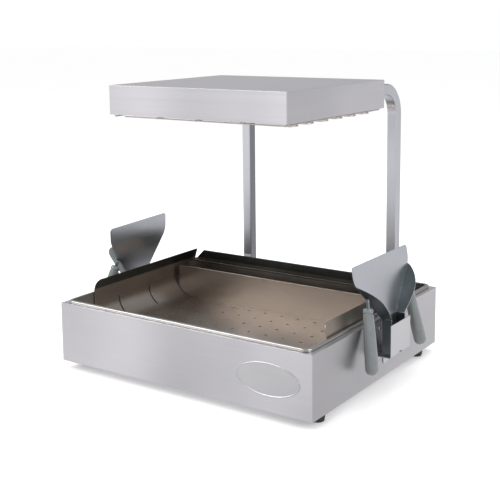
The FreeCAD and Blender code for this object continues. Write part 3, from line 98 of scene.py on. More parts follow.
class Board:
    """A shader node tree with short calls to add and join its nodes."""

    def __init__(self, tree: bpy.types.NodeTree) -> None:
        """Keeps the tree."""
        self.tree = tree

    def add(self, kind: str, **settings: object) -> bpy.types.Node:
        """Adds a node.

        Args:
            kind: the node's type name.
            settings: properties set on the node.

        Returns:
            The new node.
        """
        node = self.tree.nodes.new(kind)
        for key, value in settings.items():
            setattr(node, key, value)
        return node

    def join(self, source: Socket, target: Socket) -> None:
        """Links an output to an input."""
        self.tree.links.new(source, target)

    def feed(self, value: object, target: Socket) -> None:
        """Links a socket, or sets a plain value, on an input.

        Args:
            value: a socket, a number or a tuple.
            target: the input that takes it.
        """
        if isinstance(value, Socket):
            self.join(value, target)
        else:
            target.default_value = value

    def maths(self, operation: str, first: object, second: object = 0.0, clamp: bool = False) -> Socket:
        """Adds a Math node.

        Args:
            operation: the node's operation.
            first: first value or socket.
            second: second value or socket.
            clamp: keeps the result between 0 and 1.

        Returns:
            The node's output.
        """
        node = self.add("ShaderNodeMath", operation=operation, use_clamp=clamp)
        self.feed(first, node.inputs[0])
        self.feed(second, node.inputs[1])
        return node.outputs[0]

    def times(self, first: object, second: object, clamp: bool = False) -> Socket:
        """Multiplies two values."""
        return self.maths("MULTIPLY", first, second, clamp)

    def above(self, value: Socket, start: object, gain: float) -> Socket:
        """Gives 0 below a start and rises to 1 past it, faster with more gain."""
        return self.times(self.maths("SUBTRACT", value, start), gain, clamp=True)

    def spread(self, value: Socket, low: float, high: float, start: float = 0.0, end: float = 1.0) -> Socket:
        """Maps a range of values to the range from low to high.

        Args:
            value: the socket to map.
            low: result at the start.
            high: result at the end.
            start: value that gives low.
            end: value that gives high.

        Returns:
            The mapped socket.
        """
        node = self.add("ShaderNodeMapRange")
        self.join(value, node.inputs["Value"])
        for name, number in (("From Min", start), ("From Max", end), ("To Min", low), ("To Max", high)):
            node.inputs[name].default_value = number
        return node.outputs["Result"]

    def tint(self, factor: object, first: object, second: object, blend: str = "MIX") -> Socket:
        """Mixes two colours.

        Args:
            factor: share of the second colour.
            first: first colour or socket.
            second: second colour or socket.
            blend: the node's blend type.

        Returns:
            The mixed colour.
        """
        node = self.add("ShaderNodeMix", data_type="RGBA", blend_type=blend)
        self.feed(factor, node.inputs[0])
        for value, index in zip((first, second), MIX_COLOURS):
            self.feed((*value, 1.0) if isinstance(value, tuple) else value, node.inputs[index])
        return node.outputs[MIX_RESULT]

    def ramp(self, value: Socket, stops: Stops, blending: str = "LINEAR") -> Socket:
        """Shades a 0 to 1 value through colour stops.

        Args:
            value: the socket to shade.
            stops: spots and their colours, from the lowest spot.
            blending: how the ramp blends between them.

        Returns:
            The colour.
        """
        node = self.add("ShaderNodeValToRGB")
        self.join(value, node.inputs[0])
        node.color_ramp.interpolation = blending
        elements = node.color_ramp.elements
        for element, (spot, colour) in ((elements[0], stops[0]), (elements[1], stops[-1])):
            element.position = spot
            element.color = (*colour, 1.0)
        for spot, colour in stops[1:-1]:
            elements.new(spot).color = (*colour, 1.0)
        return node.outputs["Color"]

    def stretch(self, source: Socket, scale: Place) -> Socket:
        """Scales a vector.

        Args:
            source: the vector socket.
            scale: factor along each axis.

        Returns:
            The scaled vector.
        """
        node = self.add("ShaderNodeMapping")
        self.join(source, node.inputs["Vector"])
        node.inputs["Scale"].default_value = scale
        return node.outputs["Vector"]

    def noise(self, vector: Socket, scale: object, detail: float = 2.0, roughness: float = 0.5) -> Socket:
        """Adds a noise texture.

        Args:
            vector: its coordinates.
            scale: its scale, a number or a socket.
            detail: its detail.
            roughness: its roughness.

        Returns:
            The noise value.
        """
        node = self.add("ShaderNodeTexNoise")
        self.join(vector, node.inputs["Vector"])
        self.feed(scale, node.inputs["Scale"])
        node.inputs["Detail"].default_value = detail
        node.inputs["Roughness"].default_value = roughness
        return node.outputs[0]

    def split(self, source: Socket) -> bpy.types.bpy_prop_collection:
        """Splits a vector into outputs named X, Y and Z.

        Args:
            source: the vector socket.

        Returns:
            The outputs.
        """
        node = self.add("ShaderNodeSeparateXYZ")
        self.join(source, node.inputs[0])
        return node.outputs

    def normal(self) -> Socket:
        """Gives the surface's normal."""
        return self.add("ShaderNodeNewGeometry").outputs["Normal"]

    def turned_along(self, part: Socket) -> Socket:
        """Masks the faces that look along an axis, either way, given that part of their normal."""
        return self.maths("GREATER_THAN", self.maths("ABSOLUTE", part), MOSTLY)

    def mirror_choice(self, plain: Socket, mirrored: Socket, leave: Socket) -> None:
        """Shows one shader to the eye and another to whatever mirrors it.

        Args:
            plain: the shader that is seen and that lights the scene.
            mirrored: the shader that glossy surfaces show.
            leave: the input that takes the choice.
        """
        chosen = self.add("ShaderNodeMixShader")
        self.join(self.add("ShaderNodeLightPath").outputs["Is Glossy Ray"], chosen.inputs[0])
        self.join(plain, chosen.inputs[1])
        self.join(mirrored, chosen.inputs[2])
        self.join(chosen.outputs[0], leave)


# Shared effects


class Group:
    """A shared shader node group in the making: its board, its inputs and its outputs."""

    def __init__(self, name: str, inputs: dict[str, float], outputs: dict[str, str]) -> None:
        """Starts the group.

        Args:
            name: the group's name.
            inputs: number inputs with their first values. A vector input named Place always comes first.
            outputs: outputs with their socket types.
        """
        tree = bpy.data.node_groups.new(name, "ShaderNodeTree")
        tree.interface.new_socket(name="Place", in_out="INPUT", socket_type="NodeSocketVector")
        for key, value in inputs.items():
            tree.interface.new_socket(name=key, in_out="INPUT", socket_type=FLOAT).default_value = value
        for key, kind in outputs.items():
            tree.interface.new_socket(name=key, in_out="OUTPUT", socket_type=kind)
        self.board = Board(tree)
        self.inputs = self.board.add("NodeGroupInput").outputs
        self.outputs = self.board.add("NodeGroupOutput").inputs

    def give(self, **results: Socket) -> bpy.types.NodeTree:
        """Joins the results to the outputs.

        Args:
            results: each output's socket, by name.

        Returns:
            The finished group.
        """
        for name, socket in results.items():
            self.board.join(socket, self.outputs[name])
        return self.board.tree


def brushed_group() -> bpy.types.NodeTree:
    """Builds the brushed grain: fine scratches along a face, level or upright.

    Returns:
        The group, with outputs Height, Shade and Gloss.
    """
    numbers = {"Upright": 0.0, "Fine": 900.0, "Long": 9.0}
    group = Group("brushed_grain", numbers, dict.fromkeys(("Height", "Shade", "Gloss"), FLOAT))
    board, upright, across = group.board, group.inputs["Upright"], group.inputs["Fine"]
    sideways = board.turned_along(board.split(board.normal())["X"])
    level = board.maths("SUBTRACT", 1.0, upright)
    along_y = board.times(sideways, level)
    along_x = board.times(board.maths("SUBTRACT", 1.0, sideways), level)
    place = board.split(group.inputs["Place"])
    combined = board.add("ShaderNodeCombineXYZ")
    contrast = board.maths("SUBTRACT", across, group.inputs["Long"])
    for axis, share in (("X", along_x), ("Y", along_y), ("Z", upright)):
        scale = board.maths("SUBTRACT", across, board.times(contrast, share))
        board.join(board.times(place[axis], scale), combined.inputs[axis])
    fine = board.noise(combined.outputs[0], scale=1.0, detail=3.0, roughness=0.65)
    wide = board.noise(combined.outputs[0], scale=0.16)
    fine_share = 0.45
    shade = board.maths("ADD", board.times(fine, fine_share), board.times(wide, 1.0 - fine_share))
    return group.give(Height=fine, Shade=shade, Gloss=wide)


def marks_group() -> bpy.types.NodeTree:
    """Builds handling marks: wide soft wipes and small faint spots.

    Returns:
        The group, with outputs Wipe and Spot.
    """
    numbers = {"Size": 7.0, "Spot size": 11.0, "Spot reach": 0.09, "Spots above": 0.56}
    group = Group("handling_marks", numbers, dict.fromkeys(("Wipe", "Spot"), FLOAT))
    board, size = group.board, group.inputs["Size"]
    flat = board.stretch(group.inputs["Place"], (1.0, 1.0, 1.7))
    cloud = board.noise(flat, size, detail=3.0, roughness=0.55)
    wipe = board.maths("SMOOTH_MAX", board.spread(cloud, -0.9, 1.9), 0.0, clamp=True)
    cells = board.add("ShaderNodeTexVoronoi", feature="F1")
    board.join(group.inputs["Place"], cells.inputs["Vector"])
    board.join(board.times(size, group.inputs["Spot size"]), cells.inputs["Scale"])
    near = board.maths("LESS_THAN", cells.outputs["Distance"], group.inputs["Spot reach"])
    few = board.maths("GREATER_THAN", cloud, group.inputs["Spots above"])
    return group.give(Wipe=wipe, Spot=board.times(near, few))


def edges_group() -> bpy.types.NodeTree:
    """Builds softened edges: a normal that rounds each sharp edge, and a mask of the worn edge itself.

    Returns:
        The group, with outputs Normal and Worn.
    """
    numbers = {"Radius": 0.001, "Chips": 260.0, "Gain": 6.0}
    group = Group("softened_edges", numbers, {"Normal": "NodeSocketVector", "Worn": FLOAT})
    board = group.board
    bevel = board.add("ShaderNodeBevel", samples=10)
    board.join(group.inputs["Radius"], bevel.inputs["Radius"])
    alike = board.add("ShaderNodeVectorMath", operation="DOT_PRODUCT")
    board.join(bevel.outputs["Normal"], alike.inputs[0])
    board.join(board.normal(), alike.inputs[1])
    off = board.maths("SUBTRACT", 1.0, alike.outputs["Value"])
    chips = board.noise(group.inputs["Place"], group.inputs["Chips"], detail=3.0, roughness=0.7)
    worn = board.times(board.times(off, group.inputs["Gain"], clamp=True), board.spread(chips, 0.2, 1.2))
    return group.give(Normal=bevel.outputs["Normal"], Worn=worn)


def pebble_group() -> bpy.types.NodeTree:
    """Builds the fine pebbled skin of moulded plastic, rubber and ceramic.

    Returns:
        The group, with outputs Height and Shade.
    """
    group = Group("pebbled_skin", {"Fine": 1400.0, "Wide": 45.0}, dict.fromkeys(("Height", "Shade"), FLOAT))
    place = group.inputs["Place"]
    fine = group.board.noise(place, group.inputs["Fine"], detail=3.0, roughness=0.6)
    wide = group.board.noise(place, group.inputs["Wide"], detail=3.0, roughness=0.55)
    return group.give(Height=fine, Shade=wide)


def fibre_group() -> bpy.types.NodeTree:
    """Builds the matted fibres of an insulation blanket.

    Returns:
        The group, with outputs Height and Shade.
    """
    group = Group("matted_fibres", {"Fine": 420.0, "Wide": 30.0}, dict.fromkeys(("Height", "Shade"), FLOAT))
    board, place, long = group.board, group.inputs["Place"], 0.12
    one, two = (
        board.noise(board.stretch(place, scale), group.inputs["Fine"], detail=4.0, roughness=0.7)
        for scale in ((1.0, long, 1.0), (long, 1.0, 1.0))
    )
    wide = board.noise(place, group.inputs["Wide"], detail=3.0, roughness=0.6)
    return group.give(Height=board.maths("MAXIMUM", one, two), Shade=wide)


def side_reflection_group() -> bpy.types.NodeTree:
    """Builds a mask of the faces that are turned along Y, where a painted dark reflection of dim surroundings
    goes.

    Returns:
        The group, with the output Tone.
    """
    numbers = {"Strength": 0.9, "Start": 0.25, "Patches": 18.0}
    group = Group("side_reflection_mask", numbers, {"Tone": FLOAT})
    board = group.board
    aside = board.maths("ABSOLUTE", board.split(board.normal())["Y"])
    soft = board.spread(board.noise(group.inputs["Place"], group.inputs["Patches"]), 0.75, 1.15)
    mask = board.times(board.above(aside, group.inputs["Start"], gain=2.6), soft)
    return group.give(Tone=board.times(mask, group.inputs["Strength"], clamp=True))


def reflection_bands_group() -> bpy.types.NodeTree:
    """Builds the painted reflection of a room in flat steel: broad soft bright and dim banding.

    Returns:
        The group, with the output Level.
    """
    front_reach, side_reach = 0.36, 0.31
    front_levels = ((0.1, 0.86), (0.32, 0.97), (0.52, 0.82), (0.7, 0.88), (0.85, 1.0), (1.0, 0.98))
    side_levels = ((0.0, 0.80), (0.35, 0.84), (0.6, 0.93), (1.0, 1.0))
    group = Group("sheen_bands", {"Wander": 0.02, "Drift": 6.0}, {"Level": FLOAT})
    board = group.board
    turn, place = board.split(board.normal()), board.split(group.inputs["Place"])
    drift = board.times(board.noise(group.inputs["Place"], group.inputs["Drift"]), group.inputs["Wander"])
    reflection_bands = []
    for axis, reach, levels in (("X", front_reach, front_levels), ("Y", side_reach, side_levels)):
        where = board.spread(board.maths("ADD", place[axis], drift), 0.0, 1.0, start=-reach, end=reach)
        reflection_bands.append(board.ramp(where, greys(levels), "EASE"))
    front, side = reflection_bands
    level = board.tint(board.turned_along(turn["Y"]), WHITE, front)
    return group.give(Level=board.tint(board.turned_along(turn["X"]), level, side))


def lip_reflection_group() -> bpy.types.NodeTree:
    """Builds a mask of what stands above a height, left of a place, where the bin's painted dark reflection
    goes.

    Returns:
        The group, with the output Tone.
    """
    numbers = {"Above": 0.165, "Left of": 0.28, "Patches": 14.0}
    group = Group("lip_reflection_mask", numbers, {"Tone": FLOAT})
    board = group.board
    place = board.split(group.inputs["Place"])
    rise = board.above(place["Z"], group.inputs["Above"], gain=260.0)
    left = board.maths("LESS_THAN", place["X"], group.inputs["Left of"])
    soft = board.spread(board.noise(group.inputs["Place"], group.inputs["Patches"]), 0.7, 1.0)
    return group.give(Tone=board.times(board.times(rise, left), soft))


def inner_reflection_group() -> bpy.types.NodeTree:
    """Builds a mask of the right-hand faces of what stands left of the middle, where a painted dark
    reflection of the dim rear goes.

    Returns:
        The group, with the output Tone.
    """
    group = Group("inner_reflection_mask", {"Left of": 0.0, "Strength": 0.9, "Start": 0.4}, {"Tone": FLOAT})
    board = group.board
    left = board.maths("LESS_THAN", board.split(group.inputs["Place"])["X"], group.inputs["Left of"])
    right_face = board.above(board.split(board.normal())["X"], group.inputs["Start"], gain=2.2)
    return group.give(Tone=board.times(board.times(left, right_face), group.inputs["Strength"]))


class Effects:
    """The shared effect groups, each built once."""

    def __init__(self) -> None:
        """Builds every group."""
        self.brushed = brushed_group()
        self.marks = marks_group()
        self.edges = edges_group()
        self.pebble = pebble_group()
        self.fibre = fibre_group()
        # The next four groups give painted reflections: on faces turned along Y, a room's banding, the bin's
        # top band, the left post's right-hand face.
        self.sides = side_reflection_group()
        self.reflection_bands = reflection_bands_group()
        self.lip_painted_reflection = lip_reflection_group()
        self.inner = inner_reflection_group()


# Finishes


class Skin:
    """A material in the making: its board, its shader and its place coordinates."""

    def __init__(self, name: str) -> None:
        """Starts an empty material.

        Args:
            name: the material's name.
        """
        self.material = bpy.data.materials.new(name)
        self.material.use_nodes = True
        self.board = Board(self.material.node_tree)
        self.shader = next(node for node in self.board.tree.nodes if node.type == "BSDF_PRINCIPLED")
        self.place = self.board.add("ShaderNodeTexCoord").outputs["Object"]

    def effect(self, group: bpy.types.NodeTree, **numbers: float) -> bpy.types.bpy_prop_collection:
        """Places a shared effect with this material's own values.

        Args:
            group: the shared group.
            numbers: values of its inputs.

        Returns:
            The group's outputs, by name.
        """
        node = self.board.add("ShaderNodeGroup")
        node.node_tree = group
        self.board.join(self.place, node.inputs["Place"])
        for key, value in numbers.items():
            node.inputs[key].default_value = value
        return node.outputs

    def paint(self, colour: Socket, roughness: object) -> None:
        """Feeds the shader's colour and roughness."""
        self.board.join(colour, self.shader.inputs["Base Color"])
        self.board.feed(roughness, self.shader.inputs["Roughness"])

    def bump(self, height: Socket, strength: float, distance: float, normal: Socket | None = None) -> None:
        """Feeds a height, over an optional softened normal, to the shader's normal.

        Args:
            height: the height socket.
            strength: the bump's strength.
            distance: the bump's distance in metres.
            normal: the normal under the bump.
        """
        node = self.board.add("ShaderNodeBump")
        node.inputs["Strength"].default_value = strength
        node.inputs["Distance"].default_value = distance
        self.board.join(height, node.inputs["Height"])
        if normal is not None:
            self.board.join(normal, node.inputs["Normal"])
        self.board.join(node.outputs[0], self.shader.inputs["Normal"])


@dataclass(frozen=True)
class BrushedMetal:
    """Brushed or polished sheet metal with handling marks and worn edges, and optional painted reflections:
    broad banding and dark tones.
    """

    name: str
    tint: Colour
    roughness: float
    grain: Grain = Grain.LEVEL
    fine: float = 900.0
    long: float = 9.0
    depth: float = 0.25
    shade: float = 0.10
    smear: float = 0.06
    edge: float = 0.0009
    # Colour of a painted dark reflection on faces turned along Y.
    side: Colour | None = None
    # Share of the painted reflection banding multiplied into the colour.
    reflection_bands: float = 0.0
    # Colour of a painted dark reflection on what stands above a height, left of a place.
    lip_painted_reflection: Colour | None = None
    # Colour of a painted dark reflection on right-hand faces left of the middle.
    inner: Colour | None = None
    light_share: float = 0.6
    wipe_share: float = 0.35
    wipe_level: float = 0.9
    worn_share: float = 0.5
    worn_level: float = 1.18
    calm: float = 0.04
    dull: float = 0.05
    spot_dull: float = 0.01
    scratch: float = 0.00004

    def make(self, effects: Effects) -> bpy.types.Material:
        """Builds the material.

        Args:
            effects: the shared groups.

        Returns:
            The material.
        """
        skin = Skin(self.name)
        board = skin.board
        brushed = skin.effect(effects.brushed, Upright=self.grain.value, Fine=self.fine, Long=self.long)
        marks = skin.effect(effects.marks)
        edges = skin.effect(effects.edges, Radius=self.edge)
        dark = scaled(self.tint, 1.0 - self.shade)
        light = scaled(self.tint, 1.0 + self.shade * self.light_share)
        base = board.tint(brushed["Shade"], dark, light)
        wiped = board.times(marks["Wipe"], self.wipe_share)
        base = board.tint(wiped, base, scaled(self.tint, self.wipe_level))
        worn = board.times(edges["Worn"], self.worn_share, clamp=True)
        base = board.tint(worn, base, scaled(self.tint, self.worn_level))
        # Painted reflection: broad bright and dim banding multiplied into the colour.
        if self.reflection_bands > 0.0:
            base = board.tint(self.reflection_bands, base, skin.effect(effects.reflection_bands)["Level"], "MULTIPLY")
        # Painted dark reflections mixed into the colour by mask: the bin's top band, the left post's
        # right-hand face, faces turned along Y.
        painted_dark_reflections = ((self.lip_painted_reflection, effects.lip_painted_reflection), (self.inner, effects.inner), (self.side, effects.sides))
        for colour, group in painted_dark_reflections:
            if colour is not None:
                base = board.tint(skin.effect(group)["Tone"], base, colour)
        rough = board.spread(brushed["Gloss"], self.roughness - self.calm, self.roughness + self.dull)
        rough = board.maths("ADD", rough, board.times(marks["Wipe"], self.smear))
        rough = board.maths("ADD", rough, board.times(marks["Spot"], self.spot_dull))
        skin.paint(base, rough)
        skin.shader.inputs["Metallic"].default_value = 1.0
        skin.bump(brushed["Height"], self.depth, self.scratch, edges["Normal"])
        return skin.material


@dataclass(frozen=True)
class MouldedSkin:
    """Moulded plastic, rubber, silicone or ceramic with a fine pebble and rubbed edges."""

    name: str
    tint: Colour
    rubbed: Colour
    roughness: float
    fine: float = 1400.0
    depth: float = 0.3
    coat: float = 0.0
    edge: float = 0.0007
    dark_level: float = 0.86
    light_level: float = 1.12
    rubbed_share: float = 0.55
    vary: float = 0.06
    polish: float = 0.08
    marks_size: float = 16.0
    pebble: float = 0.00008

    def make(self, effects: Effects) -> bpy.types.Material:
        """Builds the material.

        Args:
            effects: the shared groups.

        Returns:
            The material.
        """
        skin = Skin(self.name)
        board = skin.board
        pebble = skin.effect(effects.pebble, Fine=self.fine)
        marks = skin.effect(effects.marks, Size=self.marks_size)
        edges = skin.effect(effects.edges, Radius=self.edge)
        dark, light = scaled(self.tint, self.dark_level), scaled(self.tint, self.light_level)
        base = board.tint(pebble["Shade"], dark, light)
        base = board.tint(board.times(edges["Worn"], self.rubbed_share, clamp=True), base, self.rubbed)
        rough = board.spread(pebble["Height"], self.roughness - self.vary, self.roughness + self.vary)
        skin.paint(base, board.maths("SUBTRACT", rough, board.times(marks["Wipe"], self.polish)))
        skin.shader.inputs["Coat Weight"].default_value = self.coat
        skin.bump(pebble["Height"], self.depth, self.pebble, edges["Normal"])
        return skin.material


@dataclass(frozen=True)
class MattedFelt:
    """Insulation blanket of matted mineral fibre."""

    name: str
    tint: Colour
    roughness: float = 0.95
    deep_level: float = 0.6
    patch_level: float = 0.75
    patch_share: float = 0.4
    depth: float = 0.9
    loft: float = 0.0015

    def make(self, effects: Effects) -> bpy.types.Material:
        """Builds the material.

        Args:
            effects: the shared groups.

        Returns:
            The material.
        """
        skin = Skin(self.name)
        fibre = skin.effect(effects.fibre)
        base = skin.board.tint(fibre["Height"], scaled(self.tint, self.deep_level), self.tint)
        patches = skin.board.times(fibre["Shade"], self.patch_share)
        skin.paint(skin.board.tint(patches, base, scaled(self.tint, self.patch_level)), self.roughness)
        skin.bump(fibre["Height"], self.depth, self.loft)
        return skin.material


@dataclass(frozen=True)
class HeatedSheath:
    """Metal sheath of a heating element, blued and browned by heat along its length."""

    name: str
    cool: Colour
    hot: Colour
    marks_size: float = 30.0
    fine: float = 900.0
    soot_share: float = 0.5
    soot_level: float = 0.5
    roughness: Ring = (0.4, 0.62)
    metal: float = 0.6
    depth: float = 0.35
    scale: float = 0.00008

    def make(self, effects: Effects) -> bpy.types.Material:
        """Builds the material.

        Args:
            effects: the shared groups.

        Returns:
            The material.
        """
        skin = Skin(self.name)
        board = skin.board
        marks = skin.effect(effects.marks, Size=self.marks_size)
        pebble = skin.effect(effects.pebble, Fine=self.fine)
        base = board.tint(marks["Wipe"], self.cool, self.hot)
        sooty = board.times(pebble["Height"], self.soot_share)
        base = board.tint(sooty, base, scaled(self.cool, self.soot_level))
        skin.paint(base, board.spread(pebble["Shade"], *self.roughness))
        skin.shader.inputs["Metallic"].default_value = self.metal
        skin.bump(pebble["Height"], self.depth, self.scale)
        return skin.material


FINISHES = (
    # The case steel gets the painted reflection banding.
    BrushedMetal("case_steel", (0.735, 0.72, 0.745), 0.33, edge=0.0006, reflection_bands=1.0),
    BrushedMetal("panel_steel", (0.66, 0.66, 0.66), 0.38),
    BrushedMetal("pan_steel", (0.50, 0.485, 0.465), 0.26, smear=0.09),
    # The bin steel's darker, browner tint is a painted brown reflection.
    # The bin's top band gets a painted dark reflection.
    BrushedMetal("bin_steel", (0.41, 0.36, 0.32), 0.27, depth=0.08, smear=0.1, lip_painted_reflection=(0.06, 0.075, 0.07)),
    # The holder's and the scoop's side colours are painted dark reflections on faces turned along Y.
    BrushedMetal("holder_steel", (0.82, 0.81, 0.83), 0.3, grain=Grain.UPRIGHT, depth=0.1, shade=0.05,
                 side=(0.12, 0.15, 0.14)),
    BrushedMetal("scoop_steel", (0.62, 0.64, 0.68), 0.3, grain=Grain.UPRIGHT, long=22.0,
                 side=(0.065, 0.09, 0.09)),
    # The tube steel's dark colour on the left post's right-hand face is a painted dark reflection.
    BrushedMetal("tube_steel", (0.66, 0.67, 0.71), 0.3, grain=Grain.UPRIGHT, fine=1500.0,
                 inner=(0.22, 0.225, 0.25)),
    BrushedMetal("fastener_steel", (0.60, 0.60, 0.62), 0.32, fine=2400.0, edge=0.0004),
    BrushedMetal("guard_wire", (0.76, 0.72, 0.68), 0.26, fine=1800.0, depth=0.1, edge=0.0003),
    BrushedMetal("badge_metal", (0.64, 0.635, 0.65), 0.38, fine=1600.0, long=60.0, edge=0.0005),
    BrushedMetal("spreader_aluminium", (0.74, 0.75, 0.76), 0.45),
    BrushedMetal("reflector_aluminium", (0.86, 0.86, 0.87), 0.16, shade=0.05),
    HeatedSheath("element_sheath", (0.16, 0.15, 0.14), (0.26, 0.17, 0.11)),
    MouldedSkin("foot_rubber", (0.022, 0.022, 0.024), (0.07, 0.07, 0.07), 0.68, fine=900.0, depth=0.5),
    MouldedSkin("heater_silicone", (0.42, 0.13, 0.06), (0.5, 0.2, 0.1), 0.6),
    MattedFelt("insulation_felt", (0.78, 0.76, 0.68)),
    MouldedSkin("grip_plastic", (0.15, 0.162, 0.164), (0.26, 0.27, 0.27), 0.28, coat=0.8),
    MouldedSkin("knob_plastic", (0.03, 0.03, 0.032), (0.1, 0.1, 0.1), 0.42, coat=0.1),
    MouldedSkin("dark_moulding", (0.035, 0.035, 0.037), (0.09, 0.09, 0.09), 0.5),
    MouldedSkin("pale_moulding", (0.78, 0.75, 0.68), (0.85, 0.83, 0.78), 0.45, fine=2000.0),
)


def dress_frame(materials: dict[str, bpy.types.Material]) -> None:
    """Gives every CAD node the material of its slot.

    Args:
        materials: the built materials by slot name.
    """
    for part in frame["record"]["subparts"]:
        node = frame["nodes"].get(part["node"])
        for slot in node.material_slots if node is not None else ():
            slot.material = materials[part["material_slot"]]
    LOG.info("dressed %d nodes", len(frame["nodes"]))


# Modelling helpers


def clear_selection() -> None:
    """Leaves edit mode and deselects every object."""
    if bpy.context.object is not None and bpy.context.object.mode != "OBJECT":
        bpy.ops.object.mode_set(mode="OBJECT")
    bpy.ops.object.select_all(action="DESELECT")


def make_active(piece: bpy.types.Object) -> None:
    """Selects one object alone and makes it active.

    Args:
        piece: the object.
    """
    clear_selection()
    piece.select_set(True)
    bpy.context.view_layer.objects.active = piece


@contextmanager
def editing(piece: bpy.types.Object) -> Iterator[None]:
    """Keeps one object in edit mode, at first selected all over.

    Args:
        piece: the object.

    Returns:
        The context, which lasts as long as its with block.
    """
    make_active(piece)
    bpy.ops.object.mode_set(mode="EDIT")
    bpy.ops.mesh.select_all(action="SELECT")
    yield
    bpy.ops.object.mode_set(mode="OBJECT")


def started(primitive: Callable[..., object], name: str, **sizes: object) -> bpy.types.Object:
    """Adds a primitive at the origin, with nothing else selected.

    Args:
        primitive: the operator that adds it.
        name: the object's name.
        sizes: the operator's settings.

    Returns:
        The new object.
    """
    clear_selection()
    primitive(location=ORIGIN, **sizes)
    piece = bpy.context.object
    piece.name = name
    return piece


def resize(*size: float, centre: Place = ORIGIN) -> None:
    """Resizes what is selected about a centre."""
    bpy.ops.transform.resize(value=size, center_override=centre)


def shift(move: Vector | Place) -> None:
    """Moves what is selected."""
    bpy.ops.transform.translate(value=tuple(move))


def extrude(move: Vector | Place) -> None:
    """Extrudes the selected faces and moves them."""
    bpy.ops.mesh.extrude_region_move(TRANSFORM_OT_translate={"value": tuple(move)})


def pick_faces(piece: bpy.types.Object, wanted: Callable[[Vector, Vector], bool]) -> None:
    """Selects, in edit mode, the faces whose centre and normal pass a test.

    Args:
        piece: the object in edit mode.
        wanted: the test, given a face's centre and normal.
    """
    bpy.ops.mesh.select_mode(type="FACE")
    bpy.ops.mesh.select_all(action="DESELECT")
    mesh = bmesh.from_edit_mesh(piece.data)
    for face in mesh.faces:
        face.select = wanted(face.calc_center_median(), face.normal)
    mesh.select_flush_mode()
    bmesh.update_edit_mesh(piece.data)


def pick_vertices(piece: bpy.types.Object, wanted: Callable[[Vector], bool]) -> Vector:
    """Selects, in edit mode, the vertices whose place passes a test, and the edges between them.

    Args:
        piece: the object in edit mode.
        wanted: the test, given a vertex's place.

    Returns:
        The middle of what was selected.
    """
    bpy.ops.mesh.select_mode(type="VERT")
    bpy.ops.mesh.select_all(action="DESELECT")
    mesh = bmesh.from_edit_mesh(piece.data)
    chosen = [vertex for vertex in mesh.verts if wanted(vertex.co)]
    for vertex in chosen:
        vertex.select = True
    mesh.select_flush(True)
    bmesh.update_edit_mesh(piece.data)
    return sum((vertex.co for vertex in chosen), Vector()) / max(len(chosen), 1)


def place_corners(plane: bpy.types.Object, half: float, targets: dict[Ring, Ring]) -> None:
    """Moves the corners of a square plane in edit mode.

    Args:
        plane: the plane.
        half: half its side.
        targets: the new place of each corner, by the signs of its old place.
    """
    for (across, up), (x, y) in targets.items():
        old = Vector((across * half, up * half, 0.0))
        pick_vertices(plane, lambda spot, old=old: (spot - old).length < NEAR)
        shift(Vector((x, y, 0.0)) - old)


def apply_place(piece: bpy.types.Object, matrix: Matrix) -> None:
    """Moves a piece to its place and applies that to its mesh.

    Args:
        piece: the object.
        matrix: its place.
    """
    make_active(piece)
    piece.matrix_world = matrix
    bpy.ops.object.transform_apply(location=True, rotation=True, scale=True)


def standing(axis: Vector, place: Vector) -> Matrix:
    """Gives the matrix that stands a piece made along Z at a place, along an axis."""
    return Matrix.Translation(place) @ axis.to_track_quat("Z", "Y").to_matrix().to_4x4()


def axes(first: Vector, second: Vector, third: Vector) -> Matrix:
    """Gives the matrix whose X, Y and Z axes are three directions."""
    return Matrix((first, second, third)).transposed().to_4x4()


def outward(piece: bpy.types.Object, doubles: float = 0.000005) -> None:
    """Merges doubles and turns every face outwards.

    Args:
        piece: the object.
        doubles: how near two vertices are that become one.
    """
    with editing(piece):
        bpy.ops.mesh.remove_doubles(threshold=doubles)
        bpy.ops.mesh.normals_make_consistent(inside=False)


def join_pieces(main_piece: bpy.types.Object, others: list[bpy.types.Object]) -> None:
    """Joins other pieces into the main one.

    Args:
        main_piece: the piece that stays.
        others: the pieces that become part of it.
    """
    make_active(main_piece)
    for other in others:
        other.select_set(True)
    bpy.ops.object.join()


def modify(piece: bpy.types.Object, kind: str, **settings: object) -> None:
    """Adds a modifier and applies it.

    Args:
        piece: the object.
        kind: the modifier's type name.
        settings: properties set on the modifier.
    """
    make_active(piece)
    modifier = piece.modifiers.new(kind, kind)
    for key, value in settings.items():
        setattr(modifier, key, value)
    bpy.ops.object.modifier_apply(modifier=modifier.name)


def turned(name: str, steps: list[Ring] | tuple[Ring, ...], sides: int = 48) -> bpy.types.Object:
    """Builds a turned piece along Z by extruding and resizing a disc, step by step.

    Args:
        name: the object's name.
        steps: radius and height of each ring, from the lowest.
        sides: corners of each ring.

    Returns:
        The closed object, with its place in its mesh.
    """
    radius, height = steps[0]
    piece = started(bpy.ops.mesh.primitive_circle_add, name, vertices=sides, radius=radius, fill_type="NGON")
    with editing(piece):
        shift((0.0, 0.0, height))
        for next_radius, next_height in steps[1:]:
            extrude((0.0, 0.0, next_height - height))
            share = next_radius / radius
            resize(share, share, 1.0, centre=(0.0, 0.0, next_height))
            radius, height = next_radius, next_height
    outward(piece)
    return piece


def rounded_block(
    name: str, size: Place, middle: Place, rounding: float, segments: int = 2
) -> bpy.types.Object:
    """Builds a small block with rounded edges.

    Args:
        name: the object's name.
        size: its sides.
        middle: where its middle goes.
        rounding: how far each edge is rounded.
        segments: steps of the rounding.

    Returns:
        The block, with its place in its mesh.
    """
    piece = started(bpy.ops.mesh.primitive_cube_add, name, size=1.0)
    with editing(piece):
        resize(*size)
        shift(middle)
        bpy.ops.mesh.bevel(offset=rounding, segments=segments)
    return piece


